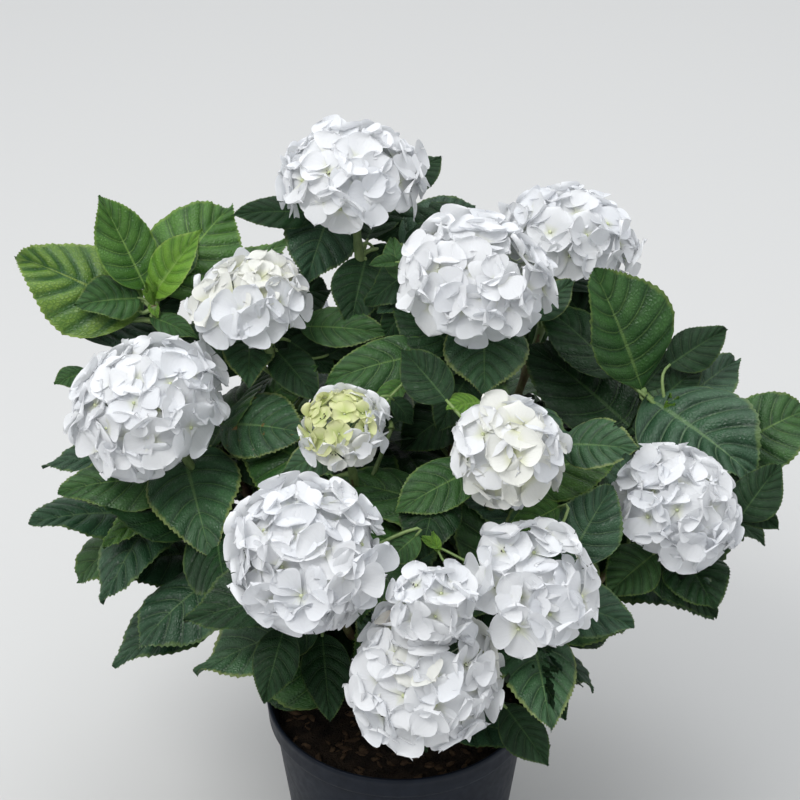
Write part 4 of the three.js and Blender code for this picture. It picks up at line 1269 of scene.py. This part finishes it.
def flower_head(h, seed):
    global floret_count
    g = np.random.default_rng(seed)
    pile = floret_piles.setdefault(GROUP[h.name], Pile())
    radius, half = h.width / 2, h.half
    small = h.name == "06"
    floret = 26.0 if small else 33.0 if h.name == "11" else 41.0 if h.width < 112 else 44.0
    side = unit(np.cross(h.axis, [0.3, 1.0, 0.2]))
    over = np.cross(h.axis, side)
    swell = lobes(seed + 7, 6, 2.0, 4.5)
    # spots spread evenly over the head, from its crown to under its widest part
    lowest = math.cos(math.radians(LOWEST.get(h.name, 112)))
    area = 2 * math.pi * (radius - 6) ** 2 * (1 - lowest) * 0.84
    count = int(area / (floret**2 * (0.36 if small else 0.35)))
    k = np.arange(count) + 0.5
    up = 1 - (1 - lowest) * k / count
    around = k * math.pi * (3 - math.sqrt(5)) + g.uniform(0, 6.28)
    up = np.clip(up + g.normal(size=count) * 0.030, lowest, 1)
    around = around + g.normal(size=count) * 0.10
    flat = np.sqrt(1 - up**2)
    way = (np.cos(around) * flat)[:, None] * side + (np.sin(around) * flat)[:, None] * over + up[:, None] * h.axis
    bump_out = 1 + 0.045 * swell(way) + g.uniform(-0.085, 0.02, count)
    # the florets' middles lie inside, so that their sepals reach the head's surface
    reach = 0.31 * floret
    slim, tall, sink, along = SHAPE.get(h.name, (1.0, 1.0, 0.0, 0.0))
    inner_r, inner_h = (radius - reach) * slim, (half + 2.0 - reach) * tall
    at = np.empty((count, 3))
    lower = np.where(up < 0, 0.8, 1.0)
    middle = h.at - Z * sink + np.array([along, 0.0, 0.0])
    for i in range(count):
        at[i] = middle + ((way[i] - up[i] * h.axis) * inner_r + up[i] * h.axis * inner_h * lower[i]) * bump_out[i]
    out = unit((way - up[:, None] * h.axis) / radius + up[:, None] * h.axis / half)
    # the main rays of the head, that the florets' own stalks leave
    rays = 11
    kk = np.arange(rays) + 0.5
    ru = 1 - 1.05 * kk / rays
    ra = kk * 2.39996 + g.uniform(0, 6)
    rf = np.sqrt(1 - ru**2)
    ray_way = (np.cos(ra) * rf)[:, None] * side + (np.sin(ra) * rf)[:, None] * over + ru[:, None] * h.axis
    ray_end = h.at + ray_way * radius * 0.45 - h.axis * 0.12 * half
    base = h.tip - h.axis * 2
    for e in ray_end:
        line = bezier([base, base + h.axis * 9, e - unit(e - base) * 8, e], np.linspace(0, 1, 6))
        tube(stalk_pile, line, np.linspace(1.5, 1.0, 6), 5, 0)
    for i in range(count):
        n = unit(out[i] + g.normal(size=3) * 0.12 + Z * 0.04)
        u = unit(np.cross(n, g.normal(size=3)))
        v = np.cross(n, u)
        basis = np.stack([u, v, n], 1)
        size = floret * g.uniform(0.86, 1.10)
        cup = g.uniform(0.04, 0.42)
        back = g.uniform(0.45, 0.85)
        # kinds of floret, dealt out by where they are on the head
        dice = g.random()
        kind = 0 if dice < 0.55 else 1 if dice < 0.92 else 2
        if h.name == "06":
            kind = 4 if up[i] - 0.35 * way[i][0] > 0.42 else 3 if up[i] > -0.05 and dice < 0.6 else kind
            size *= 0.80 if up[i] > 0.45 else 0.95 if up[i] > 0.1 else 1.1
        elif h.name == "04":
            kind = 3 if up[i] > 0.35 and dice < 0.7 else kind
            size *= 0.92 if up[i] > 0.6 else 1
        elif h.name == "07":
            kind = 3 if dice < 0.5 else kind
        elif h.name == "12" and dice > 0.95:
            kind = 3
        petals = 5 if g.random() < 0.06 else 4
        spin = g.uniform(0, 6.28)
        for p in range(petals):
            length = size * 0.54 * g.uniform(0.90, 1.12)
            width = size * (0.66 if petals == 4 else 0.54) * g.uniform(0.90, 1.14)
            inner = p % 2
            P, Rr, W = sepal(g, length, width, cup + (0.12 if inner else -0.04) + g.normal() * 0.06, g.random() if g.random() < 0.25 else 0.0, g.normal() * 0.09, back)
            tilt = g.normal() * 0.06 + (0.08 if inner else 0.0)
            c, s = math.cos(tilt), math.sin(tilt)
            P = np.stack([P[..., 0] * c - P[..., 2] * s, P[..., 1], P[..., 0] * s + P[..., 2] * c + (0.7 if inner else 0.0)], -1)
            a = spin + p * 2 * math.pi / petals + g.normal() * 0.06
            c, s = math.cos(a), math.sin(a)
            P = np.stack([P[..., 0] * c - P[..., 1] * s, P[..., 0] * s + P[..., 1] * c, P[..., 2]], -1)
            V = P.reshape(-1, 3) @ basis.T + at[i]
            material = kind
            if h.name == "12" and i == count // 3 and p == 0:
                material = 5
            pile.add(V, SEPAL_QUADS, material, np.stack([Rr, (W + 1) / 2], -1).reshape(-1, 2), petal_bake(Rr, W, material).reshape(-1, 2))
        bv, bt = little_ball()
        r = 1.55 * size / 36
        centre_pile.add((bv * [r, r, r * 0.9] + [0, 0, 1.0]) @ basis.T + at[i], None, 0, None, None, bt)
        if g.random() < 0.10:  # an open eye, with dark anthers
            for b in range(4):
                a = g.uniform(0, 6.28)
                spot = np.array([math.cos(a) * g.uniform(1.2, 2.6), math.sin(a) * g.uniform(1.2, 2.6), g.uniform(1.8, 3.4)])
                centre_pile.add((bv * g.uniform(0.45, 0.75) + spot) @ basis.T + at[i], None, 1, None, None, bt)
        # its own stalk, from the nearest ray
        j = int(np.argmin(np.linalg.norm(ray_end - at[i], axis=1)))
        e = ray_end[j]
        line = bezier([e, e + unit(at[i] - e) * 6, at[i] - n * 8, at[i] + n * 0.6], np.linspace(0, 1, 5))
        tube(stalk_pile, line, 0.55, 4, 0, closed=False)
        floret_count += 1


for i, h in enumerate(heads.values()):
    flower_head(h, 7000 + i)
print("florets", floret_count)


# ---------------------------------------------------------------- stems
stem_pile, twig_pile = Pile(), Pile()
for number, (name, stem) in enumerate(stems.items()):
    g = np.random.default_rng(9000 + number)
    count = int(stem.run[-1] / 4.2)
    runs = np.linspace(0, stem.run[-1], count)
    line = np.stack([np.interp(runs, stem.run, stem.line[:, k]) for k in range(3)], 1)
    radius = np.interp(runs, stem.run, stem.radius)
    joint = np.zeros(count)
    for at in stem.nodes:  # each pair of leaves stands on a swollen joint
        joint = np.maximum(joint, 0.9 * np.exp(-(((runs - at) / 5.0) ** 2)))
    radius = radius + joint
    old = np.arange(40.0, stem.run[-1] * 0.5, g.uniform(38, 52)) + g.uniform(-6, 6)
    for at in old:  # scars of leaves that have fallen
        radius = radius + 0.75 * np.exp(-(((runs - at) / 2.6) ** 2))
    f = lobes(9100 + number, 6, 1.5, 3.5)
    height = line[:, 2]
    bark = np.clip((stem.run[-1] * 0.62 - runs) / 60, 0, 1)

    def relief(angle, run, f=f, bark=bark):
        ridge = np.sin(angle * 5 + 1.4 * np.sin(run * 0.045)) * 0.26 + np.sin(angle * 9 + run * 0.11) * 0.13
        rough = f(np.stack([np.cos(angle) + 0 * run, np.sin(angle) + 0 * run, run * 0.055 + 0 * angle], -1) * 1.6) * 0.30
        return (ridge + rough) * (0.25 + 0.75 * bark[:, None])

    x = number % 6
    y = number // 6
    tube(stem_pile, line, radius, 12, 0, (x / 6 + 0.004, y / 3 + 0.004, (x + 1) / 6 - 0.004, (y + 1) / 3 - 0.004), relief)
    # each ring of faces takes the bark's, the ripening or the green stem's colour
    base = len(stem_pile.qm) - 1
    ring = np.repeat(np.arange(count - 1), 12)
    share = runs[ring] / stem.run[-1] + 0.05 * np.sin(np.tile(np.arange(12), count - 1) * 1.7 + ring * 0.6)
    stem_pile.qm[base] = np.where(share > 0.80, 2, np.where(share > 0.56, 1, 0))

# the side head's twig, and short tips of shoots that end in leaf buds
for line, r in twigs:
    tube(twig_pile, line, np.linspace(r * 1.15, r * 0.8, 9), 7, 0)
h = heads["11"]
run = stems["12"].run[-1] * 0.80
p, way, thick = at_run(stems["12"], run)
line = bezier([p, p + unit(way + Z * 0.6) * 34, h.tip - h.axis * 26, h.tip], np.linspace(0, 1, 16))
tube(twig_pile, line, np.linspace(2.5, 2.0, 16), 8, 0)
for name in ("left_shoot", "right_shoot"):
    stem = stems[name]
    tip = stem.line[-1]
    for k in range(4):
        g = np.random.default_rng(9300 + k)
        a = k * math.pi / 2 + 0.4
        out = np.array([math.cos(a), math.sin(a), 0.0])
        P, S, W = leaf_shape(20 - 3 * (k // 2), 9, g, fold=0.9, droop=-0.5 if k % 2 else -0.8, quilt=0.5)
        R = leaf_frame(P[-1, P.shape[1] // 2], unit(stem.axis + out * 0.28), unit(-out + stem.axis * 0.2))
        add_leaf("leaves_top", P, S, W, R, tip + out * 1.2, "lime")

# ---------------------------------------------------------------- the woody stool, its old cut stubs
stool_pile = Pile()
f = lobes(55, 8, 1.0, 4.0)
rings, sides = 22, 48
ang = np.linspace(0, 2 * math.pi, sides, endpoint=False)
hh = np.linspace(0, 1, rings)
profile = np.interp(hh, [0, 0.08, 0.35, 0.6, 0.82, 1.0], [1.0, 1.02, 0.93, 0.97, 0.80, 0.30]) * STOOL_RADIUS
verts = []
for i in range(rings):
    for a in ang:
        way = np.array([math.cos(a), math.sin(a), 0])
        q = way * profile[i] + Z * (STOOL_FOOT - 2.0 + hh[i] * (STOOL_HEIGHT + 3.5))
        bulge = 0.055 * math.sin(a * 7 + 1.2) + 0.035 * math.sin(a * 11 + hh[i] * 3) + 0.05 * float(f(q * 0.11))
        groove = -0.03 * abs(math.sin(a * 19 + 2 * math.sin(hh[i] * 5)))
        q = q + way * profile[i] * (bulge + groove)
        verts.append(q)
verts = np.array(verts)
caps = len(verts)
verts = np.concatenate([verts, [Z * (STOOL_FOOT - 2)], [Z * (STOOL_TOP + 2.5)]])
j = np.arange(sides)
k = (j + 1) % sides
top = (rings - 1) * sides
uvs = np.stack([np.concatenate([np.tile(np.arange(sides) / sides, rings), [0.5, 0.5]]), np.concatenate([np.repeat(hh, sides) * 0.6, [0, 0.6]])], -1)
stool_pile.add(verts, grid_quads(rings, sides, around=True), 0, uvs, uvs, np.concatenate([np.stack([np.full(sides, caps), k, j], -1), np.stack([np.full(sides, caps + 1), top + j, top + k], -1)]))
g = np.random.default_rng(77)
for i in range(7):
    a = i * 2 * math.pi / 7 + g.uniform(-0.25, 0.25)
    out = np.array([math.cos(a), math.sin(a), 0])
    start = out * g.uniform(16, 24) + Z * (STOOL_TOP - 12)
    end = start + unit(out * g.uniform(0.4, 0.9) + Z) * g.uniform(15, 26)
    r = g.uniform(3.6, 5.0)
    n = 7
    line = bezier([start, start + (end - start) * 0.4 + Z * 1.5, end - (end - start) * 0.3, end], np.linspace(0, 1, n))
    ff = lobes(300 + i, 4, 1, 3)
    tube(stool_pile, line, np.linspace(r, r * 0.86, n), 12, 0, (0.02 + i * 0.13, 0.64, 0.13 + i * 0.13, 0.80), lambda an, ru, ff=ff: 0.35 * ff(np.stack([np.cos(an) + 0 * ru, np.sin(an) + 0 * ru, ru * 0.1 + 0 * an], -1) * 2), closed=False)
    # the slanting cut, with its rings of wood
    along, s1, s2 = frames(line)
    rr, aa = np.linspace(0, 1, 5), np.linspace(0, 2 * math.pi, 12, endpoint=False)
    disc = [line[-1] + along[-1] * 0.5]
    for q in rr[1:]:
        for b in aa:
            disc.append(line[-1] + (s1[-1] * math.cos(b) + s2[-1] * math.sin(b)) * (r * 0.84 * q) + along[-1] * (0.5 - 0.8 * q * q + 0.12 * math.sin(q * 22)))
    disc = np.array(disc)
    tri = np.stack([np.zeros(12, int), 1 + np.arange(12), 1 + (np.arange(12) + 1) % 12], -1)
    quad = []
    for m in range(3):
        for b in range(12):
            quad.append((1 + m * 12 + b, 1 + (m + 1) * 12 + b, 1 + (m + 1) * 12 + (b + 1) % 12, 1 + m * 12 + (b + 1) % 12))
    d2 = np.concatenate([[[0.5, 0.5]], np.stack([0.5 + 0.5 * np.outer(rr[1:], np.cos(aa)).ravel(), 0.5 + 0.5 * np.outer(rr[1:], np.sin(aa)).ravel()], -1)])
    bake = np.array([0.02 + i * 0.13, 0.84]) + d2 * [0.11, 0.14]
    stool_pile.add(disc, np.array(quad), 1, d2, bake, tri)

# ---------------------------------------------------------------- the pot, turned, and its compost
SPIN = 144


def turned(profile, uv_box):
    """The points of a round sheet turned from a profile of (radius, height), with how far along the profile each row
    lies.
    """
    profile = np.array(profile, float)
    run = np.concatenate([[0], np.cumsum(np.linalg.norm(np.diff(profile, axis=0), axis=1))])
    run /= run[-1]
    a = np.linspace(0, 2 * math.pi, SPIN, endpoint=False)
    v = np.stack([np.outer(profile[:, 0], np.cos(a)), np.outer(profile[:, 0], np.sin(a)), np.repeat(profile[:, 1:], SPIN, 1)], -1)
    return v, run


def wall_at(z):
    return POT_FOOT + (POT_SHOULDER - POT_FOOT) * z / (POT_HEIGHT - POT_BAND) - POT_WALL


def outer_at(z):
    return POT_FOOT + (POT_SHOULDER - POT_FOOT) * z / (POT_HEIGHT - POT_BAND)


profile = [(8, 2.2), (30, 2.2), (58, 2.2), (74, 2.2), (76, 1.4), (77, 0.2), (78.5, 0.0), (84, 0.0), (87, 0.15), (88.8, 0.9), (89.7, 2.2), (90.1, 4.0)]
for z in np.linspace(9, 188, 24):
    rib = 0.25 * math.exp(-(((z - 40) / 1.4) ** 2)) + 0.25 * math.exp(-(((z - 46) / 1.4) ** 2))
    profile.append((outer_at(z) - 0.05 + rib, z))
profile += [(112.6, 191.6), (113.0, 193.4), (113.6, 194.0), (116.2, 194.1), (117.3, 194.3), (117.7, 195.0), (117.9, 197.0), (118.2, 202.0), (118.5, 207.0), (118.7, 210.0), (119.0, 211.2), (119.0, 212.6), (118.8, 213.8), (118.2, 214.7), (117.3, 215.0), (116.3, 214.9), (115.6, 214.3), (115.3, 213.2)]
for z in np.linspace(211, 193, 7):
    profile.append((np.interp(z, [191, 213], [wall_at(191), 114.9]), z))
profile += [(wall_at(189), 189), (wall_at(184) - 0.05, 184), (wall_at(178), 178), (wall_at(90), 90), (wall_at(6), 6), (wall_at(4) - 1, 3.4), (60, 3.2), (30, 3.2), (8, 3.2)]
profile = np.array(profile)
v, run = turned(profile, None)
# four shallow feet notches and a slight unevenness of the thin wall
angle = np.linspace(0, 2 * math.pi, SPIN, endpoint=False)
rad = np.hypot(v[..., 0], v[..., 1])
z = v[..., 2]
soft = 1 + 0.0022 * np.sin(2 * angle[None, :] + 0.7) * np.clip(z / 215, 0, 1) + 0.0011 * np.sin(5 * angle[None, :]) * np.clip(z / 215, 0, 1)
v[..., 0] *= soft
v[..., 1] *= soft
notch = np.clip((np.cos(angle * 8) - 0.90) / 0.05, 0, 1)[None, :] * ((rad > 77) & (rad < 89) & (z < 1.3))
v[..., 2] += 1.7 * notch
pot_pile = Pile()
n_prof = len(profile)
u = np.repeat(np.arange(SPIN)[None, :] / SPIN, n_prof, 0)
w = np.repeat(run[:, None], SPIN, 1)
uv = np.stack([u, w], -1).reshape(-1, 2)
pot_pile.add(v.reshape(-1, 3), grid_quads(n_prof, SPIN, around=True), 0, uv, uv)
# the open middle of the floor is a drainage hole's rim, joined between its lower and upper edge
low_edge, high_edge = np.arange(SPIN), (n_prof - 1) * SPIN + np.arange(SPIN)
nxt = (np.arange(SPIN) + 1) % SPIN
pot_pile.q.append(np.stack([high_edge, high_edge[nxt], low_edge[nxt], low_edge], -1))
pot_pile.qm.append(np.zeros(SPIN, int))

soil_pile = Pile()
f1, f2, f3 = lobes(81, 7, 0.02, 0.08), lobes(82, 7, 0.08, 0.22), lobes(83, 9, 0.3, 0.8)
rs = np.concatenate([np.linspace(0.5, 100, 46), np.linspace(101.5, wall_at(SOIL_TOP) - 0.3, 7)])
aa = np.linspace(0, 2 * math.pi, 128, endpoint=False)
pts = np.stack([np.outer(rs, np.cos(aa)), np.outer(rs, np.sin(aa)), np.zeros((len(rs), len(aa)))], -1)
height = SOIL_TOP + SOIL_MOUND * np.clip(1 - (rs / 105) ** 2, 0, 1)[:, None] + 1.3 * f1(pts) + 0.9 * f2(pts) + 0.55 * f3(pts)
height = np.minimum(height, SOIL_TOP + SOIL_MOUND + 2.5)
pts[..., 2] = height
skirt = pts[-1:].copy()
skirt[..., 2] = SOIL_TOP - 14
skirt[..., :2] *= 0.985
pts = np.concatenate([pts, skirt])
uv = pts[..., :2] / 240 + 0.5
soil_pile.add(pts.reshape(-1, 3), grid_quads(len(pts), len(aa), around=True)[:, ::-1], 0, uv.reshape(-1, 2), uv.reshape(-1, 2))
g = np.random.default_rng(84)
bv, bt = little_ball()
for i in range(520):
    r = math.sqrt(g.uniform(0.09, 1.0)) * 103
    a = g.uniform(0, 2 * math.pi)
    q = np.array([r * math.cos(a), r * math.sin(a), 0])
    zz = SOIL_TOP + SOIL_MOUND * max(0, 1 - (r / 105) ** 2) + 1.3 * float(f1(q)) + 0.9 * float(f2(q))
    chip = g.random() < 0.45
    size = g.uniform(1.2, 3.2) if not chip else g.uniform(2.5, 6.5)
    dims = np.array([size, size * g.uniform(0.35, 0.8), size * (0.22 if chip else 0.7)])
    t = g.uniform(0, 2 * math.pi)
    c, s = math.cos(t), math.sin(t)
    tilt = g.normal() * 0.35
    B = (bv * (1 + 0.22 * g.normal(size=(len(bv), 1)))) * dims
    B = np.stack([B[:, 0], B[:, 1] * math.cos(tilt) - B[:, 2] * math.sin(tilt), B[:, 1] * math.sin(tilt) + B[:, 2] * math.cos(tilt)], -1)
    B = np.stack([B[:, 0] * c - B[:, 1] * s, B[:, 0] * s + B[:, 1] * c, B[:, 2]], -1) + [q[0], q[1], zz + dims[2] * 0.35]
    uvb = B[:, :2] / 240 + 0.5
    soil_pile.add(B, None, 1 if chip else 0, uvb, uvb, bt)


# ---------------------------------------------------------------- pieces
def piece(ob, slot, *nodes):
    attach(ob, "root")
    if nodes:
        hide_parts(*nodes)
    return ob


total = 0
leaf_mats = list(LEAF.values())
MASS_OF = {
    "leaves_top": [n for n in NODES if n.startswith("foliage_0")],
    "leaves_second": [n for n in NODES if n.startswith("foliage_1")],
    "leaves_third": ["foliage_left_shoot", "foliage_right_shoot", "foliage_back_left", "foliage_back_right"],
    "leaves_low": ["foliage_rim_left", "foliage_rim_right"],
}
for name, pile in leaf_piles.items():
    piece(pile.mesh(name, leaf_mats), "leaf", *MASS_OF[name])
    print(name, pile.triangles())
    total += pile.triangles()
for name, pile in floret_piles.items():
    members = ["flower_head_" + n for n, gname in GROUP.items() if gname == name]
    piece(pile.mesh(name, PETALS), "petal", *members)
    print(name, pile.triangles())
    total += pile.triangles()
for name, pile, mats, slot, members, smooth in (
    ("floret_centres", centre_pile, [CENTRE, ANTHER], "petal", [], True),
    ("floret_stalks", stalk_pile, [PEDICEL], "stem", [], True),
    ("leaf_stalks", petiole_pile, [PETIOLE], "leaf", [], True),
    ("stems", stem_pile, [BARK, RED_STEM, GREEN_STEM], "stem", [n for n in NODES if n.startswith("stem_") and n != "stem_crown"], True),
    ("side_twigs", twig_pile, [GREEN_STEM], "stem", [], True),
    ("stool", stool_pile, [BARK, CUT_WOOD], "stem", ["stem_crown"], True),
    ("pot_turned", pot_pile, [POT], "pot", ["pot"], True),
    ("compost", soil_pile, [SOIL, CHIP], "soil", ["potting_soil"], True),
):
    piece(pile.mesh(name, mats, smooth), slot, *members)
    print(name, pile.triangles())
    total += pile.triangles()
print("triangles in all", total)

# ---------------------------------------------------------------- stage, light and camera
floor_material, nt, bsdf = new_material("floor")
bsdf.inputs["Base Color"].default_value = (0.60, 0.60, 0.59, 1)
bsdf.inputs["Roughness"].default_value = 0.9
bsdf.inputs["Specular IOR Level"].default_value = 0.2
me = bpy.data.meshes.new("floor")
me.from_pydata([(-30, -30, 0), (30, -30, 0), (30, 30, 0), (-30, 30, 0)], [], [(0, 1, 2, 3)])
me.materials.append(floor_material)
floor = bpy.data.objects.new("floor", me)
bpy.context.scene.collection.objects.link(floor)

world = bpy.data.worlds.new("world")
bpy.context.scene.world = world
world.use_nodes = True
nt = world.node_tree
back = nt.nodes["Background"]
back.inputs[0].default_value = (0.95, 0.97, 1.0, 1)
where = node(nt, "ShaderNodeTexCoord").outputs["Generated"]
split = node(nt, "ShaderNodeSeparateXYZ")
nt.links.new(where, split.inputs[0])
nt.links.new(ramp(nt, split.outputs[2], -0.3, 0.9, 0.24, 1.05), back.inputs[1])


def lamp(name, at, aim, size, power, colour):
    data = bpy.data.lights.new(name, "AREA")
    data.shape = "DISK"
    data.size = size
    data.energy = power
    data.color = colour
    ob = bpy.data.objects.new(name, data)
    bpy.context.scene.collection.objects.link(ob)
    from mathutils import Vector

    ob.location = at
    ob.rotation_euler = (Vector(aim) - Vector(at)).to_track_quat("-Z", "Y").to_euler()
    return ob


lamp("key", (-1.1, -1.0, 2.8), (0, 0, 0.42), 1.4, 40, (1.0, 0.995, 0.98))
lamp("sky", (0.5, 0.9, 2.9), (0, 0, 0.4), 2.2, 20, (0.95, 0.97, 1.0))

cam = bpy.data.cameras.new("camera")
cam.lens = 100
cam.sensor_width = 36
cam.clip_end = 100
camera = bpy.data.objects.new("camera", cam)
bpy.context.scene.collection.objects.link(camera)
from mathutils import Matrix, Vector

camera.location = Vector(EYE * MM)
right = np.array([1.0, 0, 0])
camera.rotation_euler = Matrix(np.stack([right, UP, -AHEAD], 1).tolist()).to_euler()
bpy.context.scene.camera = camera
bpy.context.scene.view_settings.view_transform = "Standard"
bpy.context.scene.view_settings.look = "None"
bpy.context.scene.view_settings.exposure = 0.0
